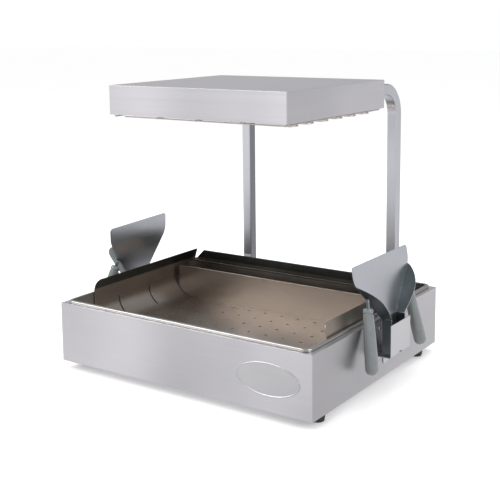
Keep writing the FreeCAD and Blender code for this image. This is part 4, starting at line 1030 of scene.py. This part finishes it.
def solid_boxes(node: str) -> list[tuple[Vector, Vector]]:
    """Finds the box of each separate solid of a CAD node.

    Args:
        node: the node's name.

    Returns:
        Lowest and highest corner of each solid.
    """
    mesh = bmesh.new()
    mesh.from_mesh(frame["nodes"][node].data)
    bmesh.ops.remove_doubles(mesh, verts=mesh.verts, dist=NEAR / 10)
    left = set(mesh.verts)
    boxes = []
    while left:
        island, front = set(), [left.pop()]
        while front:
            vertex = front.pop()
            island.add(vertex)
            new = {edge.other_vert(vertex) for edge in vertex.link_edges} & left
            left -= new
            front.extend(new)
        low, high = (
            Vector([pick(vertex.co[axis] for vertex in island) for axis in range(3)]) for pick in (min, max)
        )
        boxes.append((low, high))
    mesh.free()
    return sorted(boxes, key=lambda pair: tuple(round(part, 4) for part in pair[0]))


@dataclass
class Workshop:
    """Hands each finished piece its finish, its body and the node that it stands for."""

    materials: dict[str, bpy.types.Material]

    def fit(self, piece: bpy.types.Object, slot: str, body: str, node: str = "", angle: float = 32.0) -> None:
        """Finishes a piece and ties it to the frame.

        Args:
            piece: the object, with its place in its mesh.
            slot: the record's material slot.
            body: the CAD body that it rides on.
            node: the CAD node that it stands for, if any.
            angle: edges sharper than this stay crisp.
        """
        make_active(piece)
        bpy.ops.object.shade_smooth_by_angle(angle=math.radians(angle))
        piece.data.materials.clear()
        piece.data.materials.append(self.materials[slot])
        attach(piece, body)
        if node:
            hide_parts(node)
        LOG.info("%s on %s, %d faces", piece.name, body, len(piece.data.polygons))

    @staticmethod
    def copy(piece: bpy.types.Object, name: str, move: Vector) -> bpy.types.Object:
        """Copies a piece with a mesh of its own.

        Args:
            piece: the piece to copy.
            name: the copy's name.
            move: how far it moves.

        Returns:
            The copy.
        """
        other = piece.copy()
        other.data = piece.data.copy()
        other.name = name
        bpy.context.scene.collection.objects.link(other)
        apply_place(other, Matrix.Translation(move))
        return other


# Pieces of the base


@dataclass
class Feet:
    """Four ribbed rubber feet, hollow underneath for their screws."""

    recess_radius: float = 0.0065
    recess_depth: float = 0.011
    profile: tuple[Ring, ...] = (
        (0.0124, 0.0), (0.0134, 0.0007), (0.0138, 0.002), (0.0142, 0.0052), (0.0135, 0.0056),
        (0.0135, 0.0066), (0.0145, 0.007), (0.0149, 0.0102), (0.0142, 0.0106), (0.0142, 0.0116),
        (0.0152, 0.012), (0.0157, 0.0168), (0.016, 0.0182), (0.016, 0.0196), (0.0156, 0.02),
    )

    def build(self, shop: Workshop) -> None:
        """Models one foot and copies it to the four places.

        Args:
            shop: the workshop that fits the pieces.
        """
        places = [((low + high) / 2).to_2d().to_3d() for low, high in solid_boxes("feet")]
        foot = turned("foot_1", self.profile)
        with editing(foot):
            pick_faces(foot, lambda centre, normal: centre.z < NEAR and normal.z < -STRAIGHT)
            bpy.ops.mesh.inset(thickness=self.profile[0][0] - self.recess_radius, depth=0.0)
            extrude((0.0, 0.0, self.recess_depth))
        apply_place(foot, Matrix.Translation(places[0]))
        feet = [foot]
        for index, place in enumerate(places[1:], start=2):
            feet.append(shop.copy(foot, f"foot_{index}", place - places[0]))
        for piece in feet:
            shop.fit(piece, "foot_rubber", "warmer", "feet")


@dataclass
class Badge:
    """Bare pressed oval badge: rolled border, sunk ring and gently crowned field."""

    sides: int = 128
    roll: float = 0.0008
    # Width and rise of each step, from the rim to the field.
    steps: tuple[Ring, ...] = (
        (0.0003, 0.00048), (0.0007, 0.00032), (0.0006, 0.0), (0.0007, -0.0004), (0.0004, -0.00048),
        (0.0022, 0.0), (0.0012, 0.00016),
    )
    # Share of the last ring's size and rise of each ring of the crown.
    crown: tuple[Ring, ...] = ((0.86, 0.00026), (0.8, 0.00016), (0.7, 0.0001), (0.5, 0.00005))

    def build(self, shop: Workshop) -> None:
        """Models the badge on the front face.

        Args:
            shop: the workshop that fits the pieces.
        """
        low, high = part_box("badge_plate")
        badge = started(
            bpy.ops.mesh.primitive_circle_add, "badge", vertices=self.sides, radius=1.0, fill_type="NGON"
        )
        with editing(badge):
            resize((high.x - low.x) / 2, (high.z - low.z) / 2, 1.0)
            extrude((0.0, 0.0, high.y - low.y - self.roll))
            for width, rise in self.steps:
                bpy.ops.mesh.inset(thickness=width, depth=0.0)
                shift((0.0, 0.0, rise))
            for share, rise in self.crown:
                extrude((0.0, 0.0, rise))
                resize(share, share, 1.0)
        outward(badge)
        on_face = Matrix.Translation(((low.x + high.x) / 2, high.y, (low.z + high.z) / 2))
        apply_place(badge, on_face @ Matrix.Rotation(math.pi / 2, 4, "X"))
        shop.fit(badge, "badge_metal", "warmer", "badge_plate", angle=40.0)


@dataclass
class Screws:
    """Pan-head screws with a cross recess that stand for the plain fasteners of one node."""

    node: str
    axis: Place
    head_height: float
    stem_radius: float
    dome: float = 0.35
    sides: int = 32
    tip_share: float = 0.7
    # Share of the head's radius, and of its height below the top, of each ring under the dome and in it.
    under: tuple[Ring, ...] = ((0.97, 1.0), (1.0, 0.86))
    crown: tuple[Ring, ...] = ((0.93, 0.3), (0.76, 0.1), (0.5, 0.02), (0.2, 0.0))
    recess_reach: float = 0.62
    recess_depth: float = 0.75
    recess_width: float = 0.2

    def build(self, shop: Workshop) -> None:
        """Models one screw and copies it to every place of the node.

        Args:
            shop: the workshop that fits the pieces.
        """
        out = Vector(self.axis)
        places = []
        for low, high in solid_boxes(self.node):
            reach = abs((high - low).dot(out))
            width = max(part for part, side in zip(high - low, out) if abs(side) < MOSTLY)
            places.append(((low + high) / 2 + out * reach / 2, reach, width / 2))
        tip, reach, head = places[0]
        screw = self.screw(f"{self.node}_1", reach, head)
        apply_place(screw, standing(out, tip))
        screws = [screw]
        for index, (place, _, _) in enumerate(places[1:], start=2):
            screws.append(shop.copy(screw, f"{self.node}_{index}", place - tip))
        for piece in screws:
            shop.fit(piece, "fastener_steel", "warmer", self.node, angle=30.0)

    def screw(self, name: str, reach: float, head: float) -> bpy.types.Object:
        """Models one screw with its head's top at the origin, facing up.

        Args:
            name: the object's name.
            reach: the screw's whole length.
            head: the head's radius.

        Returns:
            The screw.
        """
        rise, stem = self.head_height, self.stem_radius
        steps = [(stem * self.tip_share, -reach), (stem, stem / 2 - reach), (stem, -rise)]
        for share, drop in (*self.under, (1.0, 1.0 - self.dome), *self.crown):
            steps.append((head * share, -rise * drop))
        screw = turned(name, steps, self.sides)
        cutter = self.cross(head * self.recess_reach, rise * self.recess_depth)
        modify(screw, "BOOLEAN", operation="DIFFERENCE", object=cutter)
        bpy.data.objects.remove(cutter)
        return screw

    def cross(self, reach: float, depth: float) -> bpy.types.Object:
        """Models the cross-shaped cutter of a screwdriver recess.

        Args:
            reach: from its middle to the tip of an arm.
            depth: how deep it goes.

        Returns:
            The cutter.
        """
        half = reach * self.recess_width
        cutter = started(bpy.ops.mesh.primitive_cube_add, "cutter", size=2 * half)
        with editing(cutter):
            for side in ((1.0, 0.0), (-1.0, 0.0), (0.0, 1.0), (0.0, -1.0)):
                arm = Vector((*side, 0.0))
                pick_faces(
                    cutter,
                    lambda centre, normal, arm=arm: normal.dot(arm) > STRAIGHT and centre.length < half * 1.1,
                )
                extrude(arm * (reach - half))
            bpy.ops.mesh.select_all(action="SELECT")
            resize(1.0, 1.0, depth / half)
            bpy.ops.mesh.normals_make_consistent(inside=False)
        return cutter


@dataclass
class Controls:
    """Rear controls: fluted knob with a pointer, dial marks round it and marks beside the switch."""

    knob_height: float = 0.018
    body_share: float = 0.84
    flutes: int = 20
    flute_from: float = 0.0055
    flute_below_top: float = 0.0023
    flute_share: float = 0.45
    # Rim left round each flute, and how far the flute goes in.
    flute_cut: Ring = (0.0003, -0.0007)
    # Widths, heights and roundings in metres, lengths and middles as shares of the body's radius.
    pointer_width: float = 0.0026
    pointer_share: float = 0.86
    pointer_middle: float = 0.48
    pointer_tall: float = 0.0034
    pointer_round: float = 0.0006
    line_width: float = 0.0009
    line_share: float = 0.6
    line_middle: float = 0.58
    line_tall: float = 0.0003
    line_sunk: float = 0.0001
    line_round: float = 0.00008
    # Share of the skirt's radius and height.
    skirt: tuple[Ring, ...] = ((0.96, 0.0), (1.0, 0.0006), (1.0, 0.0026), (0.97, 0.0034))
    # Share of the body's radius and height.
    shank: tuple[Ring, ...] = ((1.02, 0.0042), (1.0, 0.0052))
    # Share of the body's radius and depth below the top.
    crown: tuple[Ring, ...] = ((0.965, 0.0022), (0.93, 0.0008), (0.86, 0.0), (0.6, 0.0005), (0.2, 0.0007))
    mark_count: int = 11
    mark_reach: float = 0.0235
    long_mark: Ring = (0.0011, 0.0042)
    short_mark: Ring = (0.0007, 0.0028)
    marks_to_long: int = 5
    mark_round: float = 0.00005
    dial_sweep: float = 270.0
    print_height: float = 0.00012
    sign_gap: float = 0.007
    sign_inset: float = 0.008
    sign_flat: float = 0.3
    ring_radii: Ring = (0.0021, 0.0004)
    bar: tuple[Ring, ...] = ((0.00035, -0.0021), (0.00045, -0.0019), (0.00045, 0.0019), (0.00035, 0.0021))
    bar_sides: int = 12

    def build(self, shop: Workshop) -> None:
        """Models the knob and the marks.

        Args:
            shop: the workshop that fits the pieces.
        """
        low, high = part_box("thermostat_knob")
        centre = Vector(((low.x + high.x) / 2, low.y, (low.z + high.z) / 2))
        self.knob(shop, centre, (high.x - low.x) / 2, high.y - low.y)
        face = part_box("control_plate")[1].y
        self.marks(shop, Vector((centre.x, face, centre.z)))
        self.switch_signs(shop, face)

    def knob(self, shop: Workshop, centre: Vector, radius: float, reach: float) -> None:
        """Models the knob and its pale line.

        Args:
            shop: the workshop that fits the pieces.
            centre: middle of its inner face.
            radius: its skirt's radius.
            reach: its depth with the pointer.
        """
        body, height = radius * self.body_share, self.knob_height
        steps = [(radius * share, rise) for share, rise in self.skirt]
        steps += [(body * share, rise) for share, rise in self.shank]
        steps += [(body * share, height - drop) for share, drop in self.crown]
        knob = turned("knob", steps, 4 * self.flutes)
        turn = 2 * math.pi / self.flutes

        def in_flute(spot: Vector, normal: Vector) -> bool:
            """True for the side faces between the knob's ridges."""
            share = (math.atan2(spot.y, spot.x) / turn) % 1.0
            return self.flute_from < spot.z < height - self.flute_below_top and share > self.flute_share

        with editing(knob):
            pick_faces(knob, in_flute)
            rim, cut = self.flute_cut
            bpy.ops.mesh.inset(thickness=rim, depth=cut)
        size = (self.pointer_width, body * self.pointer_share, self.pointer_tall)
        middle = (0.0, -body * self.pointer_middle, reach - self.pointer_tall / 2)
        join_pieces(knob, [rounded_block("pointer", size, middle, self.pointer_round, segments=3)])
        size = (self.line_width, body * self.line_share, self.line_tall)
        middle = (0.0, -body * self.line_middle, reach - self.line_sunk)
        line = rounded_block("knob_line", size, middle, self.line_round)
        for piece in (knob, line):
            apply_place(piece, Matrix.Translation(centre) @ Matrix.Rotation(-math.pi / 2, 4, "X"))
        shop.fit(knob, "knob_plastic", "knob", "thermostat_knob", angle=35.0)
        shop.fit(line, "pale_moulding", "knob")

    def marks(self, shop: Workshop, centre: Vector) -> None:
        """Prints the dial's marks round the knob on the control plate.

        Args:
            shop: the workshop that fits the pieces.
            centre: middle of the dial on the plate's face.
        """
        for index in range(self.mark_count):
            turn = -math.radians(self.dial_sweep * index / (self.mark_count - 1))
            width, tall = self.short_mark if index % self.marks_to_long else self.long_mark
            size = (width, 2 * self.print_height, tall)
            mark = rounded_block(f"dial_mark_{index + 1}", size, ORIGIN, self.mark_round)
            spun = Matrix.Translation(centre) @ Matrix.Rotation(turn, 4, "Y")
            apply_place(mark, spun @ Matrix.Translation(UP * self.mark_reach))
            shop.fit(mark, "dark_moulding", "warmer")

    def switch_signs(self, shop: Workshop, face: float) -> None:
        """Prints the plain bar and ring of on and off beside the switch.

        Args:
            shop: the workshop that fits the pieces.
            face: the plate's outer face along Y.
        """
        low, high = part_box("switch_frame")
        beside = high.x + self.sign_gap
        reach, stroke = self.ring_radii
        ring = started(
            bpy.ops.mesh.primitive_torus_add, "off_ring", major_radius=reach, minor_radius=stroke,
            major_segments=32, minor_segments=8,
        )
        with editing(ring):
            resize(1.0, 1.0, self.sign_flat)
        ring_place = Vector((beside, face, low.z + self.sign_inset))
        apply_place(ring, standing(Vector((0.0, 1.0, 0.0)), ring_place))
        shop.fit(ring, "dark_moulding", "warmer")
        bar = turned("on_bar", self.bar, self.bar_sides)
        bar_place = Matrix.Translation((beside, face, high.z - self.sign_inset))
        apply_place(bar, bar_place @ Matrix.Diagonal((1.0, self.sign_flat, 1.0, 1.0)))
        shop.fit(bar, "dark_moulding", "warmer")


# Scoops


@dataclass
class Grip:
    """Moulded scoop grip: round foot, slow taper, neck groove and collar."""

    name: str
    node: str
    body: str
    upper: Place
    lower: Place
    foot_radius: float = 0.014
    top_radius: float = 0.011
    sides: int = 56
    foot_rings: int = 8
    swell: float = 0.0005
    swell_end: float = 0.84
    taper: tuple[float, ...] = (0.0, 0.12, 0.3, 0.5, 0.7, 0.84)
    # Change of the top radius and depth below the top of each ring of the neck and collar.
    collar: tuple[Ring, ...] = (
        (0.0004, 0.0135), (-0.0012, 0.0121), (-0.0014, 0.0105), (-0.0002, 0.0093), (0.0, 0.0083),
        (0.0, 0.0036), (-0.0008, 0.0016), (-0.0026, 0.0003), (-0.0064, 0.0),
    )

    def build(self, shop: Workshop) -> None:
        """Models the grip along its axis.

        Args:
            shop: the workshop that fits the pieces.
        """
        upper, lower = Vector(self.upper), Vector(self.lower)
        length = (upper - lower).length
        foot, top = self.foot_radius, self.top_radius
        steps = []
        for ring in range(1, self.foot_rings):
            turn = math.pi / 2 * ring / self.foot_rings
            steps.append((foot * math.sin(turn), -foot * math.cos(turn)))
        for share in self.taper:
            swell = self.swell * math.sin(share * math.pi / self.swell_end)
            steps.append((foot + (top - foot) * share + swell, length * share))
        steps += [(top + change, length - depth) for change, depth in self.collar]
        grip = turned(self.name, steps, self.sides)
        apply_place(grip, standing((upper - lower).normalized(), lower))
        shop.fit(grip, "grip_plastic", self.body, self.node, angle=40.0)


@dataclass
class ScoopBlade:
    """Folded scoop: flared blade, two curved side wings, a chute and the grip tangs."""

    name: str
    node: str
    body: str
    grips: list[Grip]
    side: float
    centre: float
    lean: float
    neck: float
    # Reach of the front and rear shoulder along the blade's X, and their height above the holder's floor.
    shoulders: Place
    # Reach and height of the front and rear corner of the mouth.
    mouths: tuple[Ring, Ring]
    wing_depth: float
    peak_share: float
    sheet: float = 0.0012
    chute_x: float = 0.3403
    chute_tall: float = 0.078
    bend_z: float = 0.1562
    chute_depth: float = 0.022
    first_rise: float = 0.02
    shoulder_round: float = 0.014
    shoulder_steps: int = 10
    mouth_round: float = 0.009
    mouth_steps: int = 6
    edge_share: float = 0.3
    edge_angle: float = 50.0
    tang_radius: float = 0.004
    tang_sunk: float = 0.004
    tang_sides: int = 24
    # Share of the rod's radius by which it stops short of the wing's outside.
    tang_short: float = 0.6
    # Share of the rod's radius at its lower and upper end, and how long the taper there is.
    tang_ends: tuple[Ring, Ring] = ((0.8, 0.0005), (0.9, 0.001))
    wing_end_share: float = 0.93
    wing_columns: int = 20
    wing_fall: float = 0.75
    wing_tip: float = 0.0006

    def build(self, shop: Workshop) -> None:
        """Models the scoop's sheet and rods and joins them.

        Args:
            shop: the workshop that fits the pieces.
        """
        plane = self.plane()
        blade = self.blade(plane)
        parts = [self.chute()]
        for end, sign in self.crease_ends():
            parts.append(self.wing(plane, Vector((sign * self.neck, 0.0, 0.0)), end))
        join_pieces(blade, parts)
        if self.side < 0.0:
            apply_place(blade, Matrix.Diagonal((-1.0, 1.0, 1.0, 1.0)))
        join_pieces(blade, [self.tang(grip) for grip in self.grips])
        modify(
            blade, "BEVEL", width=self.sheet * self.edge_share, segments=2, limit_method="ANGLE",
            angle_limit=math.radians(self.edge_angle),
        )
        outward(blade)
        shop.fit(blade, "scoop_steel", self.body, self.node, angle=35.0)

    def up_blade(self, height: float) -> float:
        """Gives how far up the leaning blade a height above the holder's floor is."""
        return (height - self.chute_tall) / math.cos(math.radians(self.lean))

    def crease_ends(self) -> list[tuple[Vector, float]]:
        """Gives the upper ends of the front and rear crease in the blade's plane.

        Returns:
            Each end's place, with -1 for the front and 1 for the rear.
        """
        front, rear, height = self.shoulders
        rise = self.up_blade(height)
        return [(Vector((front, rise, 0.0)), -1.0), (Vector((rear, rise, 0.0)), 1.0)]

    def plane(self) -> Matrix:
        """Gives the blade's plane.

        Returns:
            The matrix with X along the object's Y, Y up the leaning blade and Z out of its face.
        """
        tilt = math.radians(self.lean)
        up = Vector((-math.sin(tilt), 0.0, math.cos(tilt)))
        out = Vector((math.cos(tilt), 0.0, math.sin(tilt)))
        bend = Matrix.Translation((self.chute_x, self.centre, self.bend_z))
        return bend @ axes(Vector((0.0, 1.0, 0.0)), up, out)

    def thicken(self, piece: bpy.types.Object, offset: float) -> None:
        """Gives a sheet its thickness, on the side that the offset names."""
        modify(piece, "SOLIDIFY", thickness=self.sheet, offset=offset)

    def blade(self, plane: Matrix) -> bpy.types.Object:
        """Models the flared blade from its neck up.

        Args:
            plane: the blade's plane.

        Returns:
            The blade.
        """
        neck = self.neck
        front, rear, height = self.shoulders
        rise = self.up_blade(height)
        above = rise + self.first_rise / 2
        mouths = [Vector((reach, self.up_blade(tall), 0.0)) for reach, tall in self.mouths]
        lowest = min(target.y for target in mouths)
        blade = started(bpy.ops.mesh.primitive_plane_add, self.name, size=2 * neck)
        with editing(blade):
            place_corners(blade, neck, {
                (-1.0, -1.0): (-neck, 0.0), (1.0, -1.0): (neck, 0.0),
                (1.0, 1.0): (rear, rise), (-1.0, 1.0): (front, rise),
            })
            pick_vertices(blade, lambda spot: spot.y > rise * STRAIGHT)
            first = {"value": (0.0, self.first_rise, 0.0)}
            bpy.ops.mesh.extrude_edges_move(TRANSFORM_OT_translate=first)
            for target in mouths:
                near = pick_vertices(
                    blade, lambda spot, side=target.x: spot.x * side > 0.0 and spot.y > above
                )
                shift(target - near)
            pick_vertices(blade, lambda spot: abs(spot.y - rise) < CLOSE)
            bpy.ops.mesh.bevel(offset=self.shoulder_round, segments=self.shoulder_steps, affect="VERTICES")
            pick_vertices(blade, lambda spot: spot.y > lowest - CLOSE)
            bpy.ops.mesh.bevel(offset=self.mouth_round, segments=self.mouth_steps, affect="VERTICES")
        outward(blade)
        self.thicken(blade, -1.0)
        apply_place(blade, plane)
        return blade

    def wing(self, plane: Matrix, neck: Vector, shoulder: Vector) -> bpy.types.Object:
        """Models one side wing that stands on the slanted crease with a curved outer edge.

        Args:
            plane: the blade's plane.
            neck: lower end of the crease in that plane.
            shoulder: upper end of the crease in that plane.

        Returns:
            The wing.
        """
        crease = shoulder - neck
        length = crease.length * self.wing_end_share
        wing = started(
            bpy.ops.mesh.primitive_grid_add, "wing", x_subdivisions=self.wing_columns, y_subdivisions=1,
            size=1.0,
        )
        with editing(wing):
            shift((0.5, 0.5, 0.0))
            resize(length, self.wing_depth, 1.0)
            for column in range(self.wing_columns + 1):
                share = column / self.wing_columns

                def on_edge(spot: Vector, place: float = share * length) -> bool:
                    """True for the outer vertex of this column."""
                    return abs(spot.x - place) < CLOSE and spot.y > self.wing_depth * STRAIGHT

                outer = pick_vertices(wing, on_edge)
                shift((0.0, self.depth_at(share) - outer.y, 0.0))
        outward(wing)
        self.thicken(wing, 0.0)
        ahead = crease.normalized()
        apply_place(wing, plane @ Matrix.Translation(neck) @ axes(ahead, UP, ahead.cross(UP)))
        return wing

    def depth_at(self, share: float) -> float:
        """Gives the wing's depth along its crease: chute depth, rounded peak and back to nothing.

        Args:
            share: share of the wing's length.

        Returns:
            The depth.
        """
        quarter = math.pi / 2
        if share < self.peak_share:
            gain = self.wing_depth - self.chute_depth
            return self.chute_depth + gain * math.sin(quarter * share / self.peak_share)
        fall = (share - self.peak_share) / (1.0 - self.peak_share)
        return self.wing_depth * max(math.cos(quarter * fall), 0.0) ** self.wing_fall + self.wing_tip

    def chute(self) -> bpy.types.Object:
        """Models the straight chute that stands in the holder.

        Returns:
            The chute, a back and two side walls.
        """
        tall, depth = self.chute_tall, self.chute_depth
        chute = started(bpy.ops.mesh.primitive_cube_add, "chute", size=2.0)
        with editing(chute):
            resize(depth / 2, self.neck, tall / 2)
            pick_faces(chute, lambda centre, normal: normal.x > STRAIGHT or abs(normal.z) > STRAIGHT)
            bpy.ops.mesh.delete(type="FACE")
        self.thicken(chute, -1.0)
        middle = (self.chute_x + depth / 2, self.centre, self.bend_z - tall / 2 + self.sheet / 2)
        apply_place(chute, Matrix.Translation(middle))
        return chute

    def tang(self, grip: Grip) -> bpy.types.Object:
        """Models the rod from the outside of a wing down into its grip.

        Args:
            grip: the grip that holds it.

        Returns:
            The rod.
        """
        upper, lower = Vector(grip.upper), Vector(grip.lower)
        line = (upper - lower).normalized()
        end, sign = self.crease_ends()[lower.y > self.centre]
        plane = self.plane()
        neck = plane @ Vector((sign * self.neck, 0.0, 0.0))
        across = (plane @ end - neck).cross(plane.to_3x3() @ UP).normalized()
        across.x *= self.side
        neck.x *= self.side
        radius = self.tang_radius
        length = (neck - upper).dot(across) / line.dot(across) - self.tang_short * radius
        (low_share, low_taper), (high_share, high_taper) = self.tang_ends
        rod = turned("tang", [
            (radius * low_share, -self.tang_sunk), (radius, low_taper - self.tang_sunk),
            (radius, length / 2), (radius, length - high_taper), (radius * high_share, length),
        ], self.tang_sides)
        apply_place(rod, standing(line, upper))
        return rod


def scoops() -> list[Grip | ScoopBlade]:
    """Gives the grips, with the ends of their axes, and the two scoops.

    Returns:
        The grips right front, right rear and left, and the right and left scoop.
    """
    high, low, near, far = 0.1957, 0.0767, 0.3388, 0.3598
    grips = [
        Grip(name, node, body, (side * near, upper, high), (side * far, lower, low))
        for name, node, body, side, upper, lower in (
            ("grip_right_front", "scoop_right_front_grip", "scoop_right", 1.0, -0.09245, -0.11345),
            ("grip_right_rear", "scoop_right_rear_grip", "scoop_right", 1.0, 0.09655, 0.11755),
            ("grip_left", "scoop_left_grip", "scoop_left", -1.0, -0.10195, -0.14195),
        )
    ]
    right = ScoopBlade(
        "blade_right", "scoop_right_blade", "scoop_right", grips[:2], side=1.0, centre=0.00205, lean=9.9,
        neck=0.032, shoulders=(-0.1275, 0.1275, 0.1715), mouths=((-0.1275, 0.206), (0.1275, 0.206)),
        wing_depth=0.032, peak_share=0.46,
    )
    left = ScoopBlade(
        "blade_left", "scoop_left_blade", "scoop_left", grips[2:], side=-1.0, centre=-0.02345, lean=8.0,
        neck=0.031, shoulders=(-0.1085, 0.0965, 0.177), mouths=((-0.1145, 0.2165), (0.091, 0.223)),
        wing_depth=0.027, peak_share=0.6,
    )
    return [*grips, right, left]


# Studio


@dataclass(frozen=True)
class Softbox:
    """One square area light that faces a point."""

    name: str
    place: Place
    target: Place
    size: float
    power: float
    mirrored: bool = True

    def hang(self) -> None:
        """Adds the light to the scene."""
        data = bpy.data.lights.new(self.name, "AREA")
        data.size = self.size
        data.energy = self.power
        light = bpy.data.objects.new(self.name, data)
        light.location = self.place
        aim = Vector(self.target) - Vector(self.place)
        light.rotation_euler = aim.to_track_quat("-Z", "Y").to_euler()
        light.visible_glossy = self.mirrored
        bpy.context.scene.collection.objects.link(light)


@dataclass
class Studio:
    """Pale floor, soft lights, surroundings for the steel to mirror, and the camera of the picture."""

    lens: float = 71.116
    sensor: float = 36.0
    place: Place = (1.243678, -1.838419, 0.783018)
    turn: float = 0.59958
    dip: float = 0.156926
    roll: float = -0.010729
    shift: float = -0.15
    clip: tuple[float, float] = (0.05, 60.0)
    floor_half: float = 20.0
    floor_tints: tuple[Colour, Colour] = ((0.86, 0.86, 0.865), (0.90, 0.90, 0.90))
    floor_mottle: float = 3.0
    floor_roughness: float = 0.9
    floor_specular: float = 0.1
    floor_glow: float = 0.12
    # How bright the floor looks in the steel, from left to right over this reach each way.
    floor_reach: float = 1.0
    floor_levels: tuple[Ring, ...] = (
        (0.02, 0.95), (0.25, 0.92), (0.38, 0.98), (0.46, 0.72), (0.56, 0.9), (0.66, 0.62), (0.8, 0.7),
        (0.98, 0.8),
    )
    floor_blue: float = 1.01
    # How bright the room looks in the steel, from the horizon to straight above, and its share at the rear.
    room_levels: Stops = ((0.0, (0.84, 0.84, 0.85)), (0.35, (0.68, 0.69, 0.71)), (1.0, (0.6, 0.6, 0.61)))
    room_rear: float = 0.67
    room_strength: float = 0.9
    softboxes: tuple[Softbox, ...] = (
        Softbox("key_softbox", (-1.9, -2.1, 2.3), (0.0, 0.0, 0.25), size=2.0, power=62.0),
        Softbox("side_softbox", (2.6, -0.4, 1.9), (0.0, 0.0, 0.25), size=1.6, power=26.0),
        Softbox("top_softbox", (0.1, 0.9, 2.9), (0.0, 0.0, 0.3), size=2.2, power=34.0, mirrored=False),
    )

    def build(self) -> None:
        """Builds the whole studio."""
        self.camera()
        self.floor()
        self.surroundings()
        for softbox in self.softboxes:
            softbox.hang()
        LOG.info("studio with %d softboxes", len(self.softboxes))

    def camera(self) -> None:
        """Places the camera where the picture was taken from."""
        data = bpy.data.cameras.new("picture_camera")
        data.sensor_width = self.sensor
        data.lens = self.lens
        data.shift_y = self.shift
        data.clip_start, data.clip_end = self.clip
        level = math.cos(self.dip)
        back = Vector((math.sin(self.turn) * level, -math.cos(self.turn) * level, math.sin(self.dip)))
        right = (-back).cross(UP).normalized()
        up = right.cross(-back)
        side = right * math.cos(self.roll) + up * math.sin(self.roll)
        head = up * math.cos(self.roll) - right * math.sin(self.roll)
        camera = bpy.data.objects.new("picture_camera", data)
        camera.matrix_world = Matrix.Translation(self.place) @ axes(side, head, back)
        bpy.context.scene.collection.objects.link(camera)
        bpy.context.scene.camera = camera

    def floor(self) -> None:
        """Lays a pale matt floor with a faint mottle and a faint white glow; glossy rays see a glowing grey
        ramp instead, so the steel mirrors it brighter on the left.
        """
        floor = started(bpy.ops.mesh.primitive_plane_add, "studio_floor", size=2 * self.floor_half)
        skin = Skin("studio_floor")
        board, inputs = skin.board, skin.shader.inputs
        mottle = board.noise(skin.place, self.floor_mottle)
        skin.paint(board.tint(mottle, *self.floor_tints), self.floor_roughness)
        inputs["Specular IOR Level"].default_value = self.floor_specular
        inputs["Emission Color"].default_value = (*WHITE, 1.0)
        inputs["Emission Strength"].default_value = self.floor_glow
        reach = board.spread(board.split(skin.place)["X"], 0.0, 1.0, -self.floor_reach, self.floor_reach)
        # Glow that only glossy rays see: a painted reflection source for the steel, grey from left to right.
        mirrored = board.add("ShaderNodeEmission")
        levels = board.ramp(reach, greys(self.floor_levels, self.floor_blue), "B_SPLINE")
        board.join(levels, mirrored.inputs["Color"])
        leave = next(node for node in board.tree.nodes if node.type == "OUTPUT_MATERIAL")
        board.mirror_choice(skin.shader.outputs[0], mirrored.outputs[0], leave.inputs["Surface"])
        floor.data.materials.append(skin.material)

    def surroundings(self) -> None:
        """Surrounds the part with white light, which the steel mirrors as a soft gradient."""
        world = bpy.data.worlds.new("studio_world")
        world.use_nodes = True
        bpy.context.scene.world = world
        board = Board(world.node_tree)
        board.tree.nodes.clear()
        around = board.split(board.add("ShaderNodeTexCoord").outputs["Generated"])
        height = board.ramp(board.spread(around["Z"], 0.0, 1.0), self.room_levels)
        depth = board.spread(around["Y"], 1.0, self.room_rear)
        mirrored = board.add("ShaderNodeBackground")
        board.join(board.tint(1.0, height, depth, "MULTIPLY"), mirrored.inputs["Color"])
        mirrored.inputs["Strength"].default_value = self.room_strength
        plain = board.add("ShaderNodeBackground")
        plain.inputs["Color"].default_value = (*WHITE, 1.0)
        leave = board.add("ShaderNodeOutputWorld")
        board.mirror_choice(plain.outputs[0], mirrored.outputs[0], leave.inputs["Surface"])


def fasteners() -> list[Screws]:
    """Gives the sets of screws that show.

    Returns:
        The sets, by node.
    """
    return [
        Screws("holder_screws_right", (1.0, 0.0, 0.0), head_height=0.0024, stem_radius=0.0022),
        Screws("holder_screws_left", (-1.0, 0.0, 0.0), head_height=0.0024, stem_radius=0.0022),
        Screws("plate_screws", (0.0, 1.0, 0.0), head_height=0.0020, stem_radius=0.0018),
        Screws("post_bolts", (0.0, 1.0, 0.0), head_height=0.0040, stem_radius=0.0030, dome=0.5),
        Screws("floor_screws", (0.0, 0.0, -1.0), head_height=0.0018, stem_radius=0.0020),
    ]


def main() -> None:
    """Builds the finishes, the modelled pieces and the studio in order."""
    logging.basicConfig(level=logging.INFO, format="%(message)s")
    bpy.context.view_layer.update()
    bpy.context.scene.view_settings.view_transform = "Standard"
    effects = Effects()
    materials = {finish.name: finish.make(effects) for finish in FINISHES}
    dress_frame(materials)
    shop = Workshop(materials)
    for part in (Feet(), Badge(), *fasteners(), Controls(), *scoops()):
        part.build(shop)
        LOG.info("built %s", type(part).__name__)
    Studio().build()


if __name__ == "__main__":
    main()
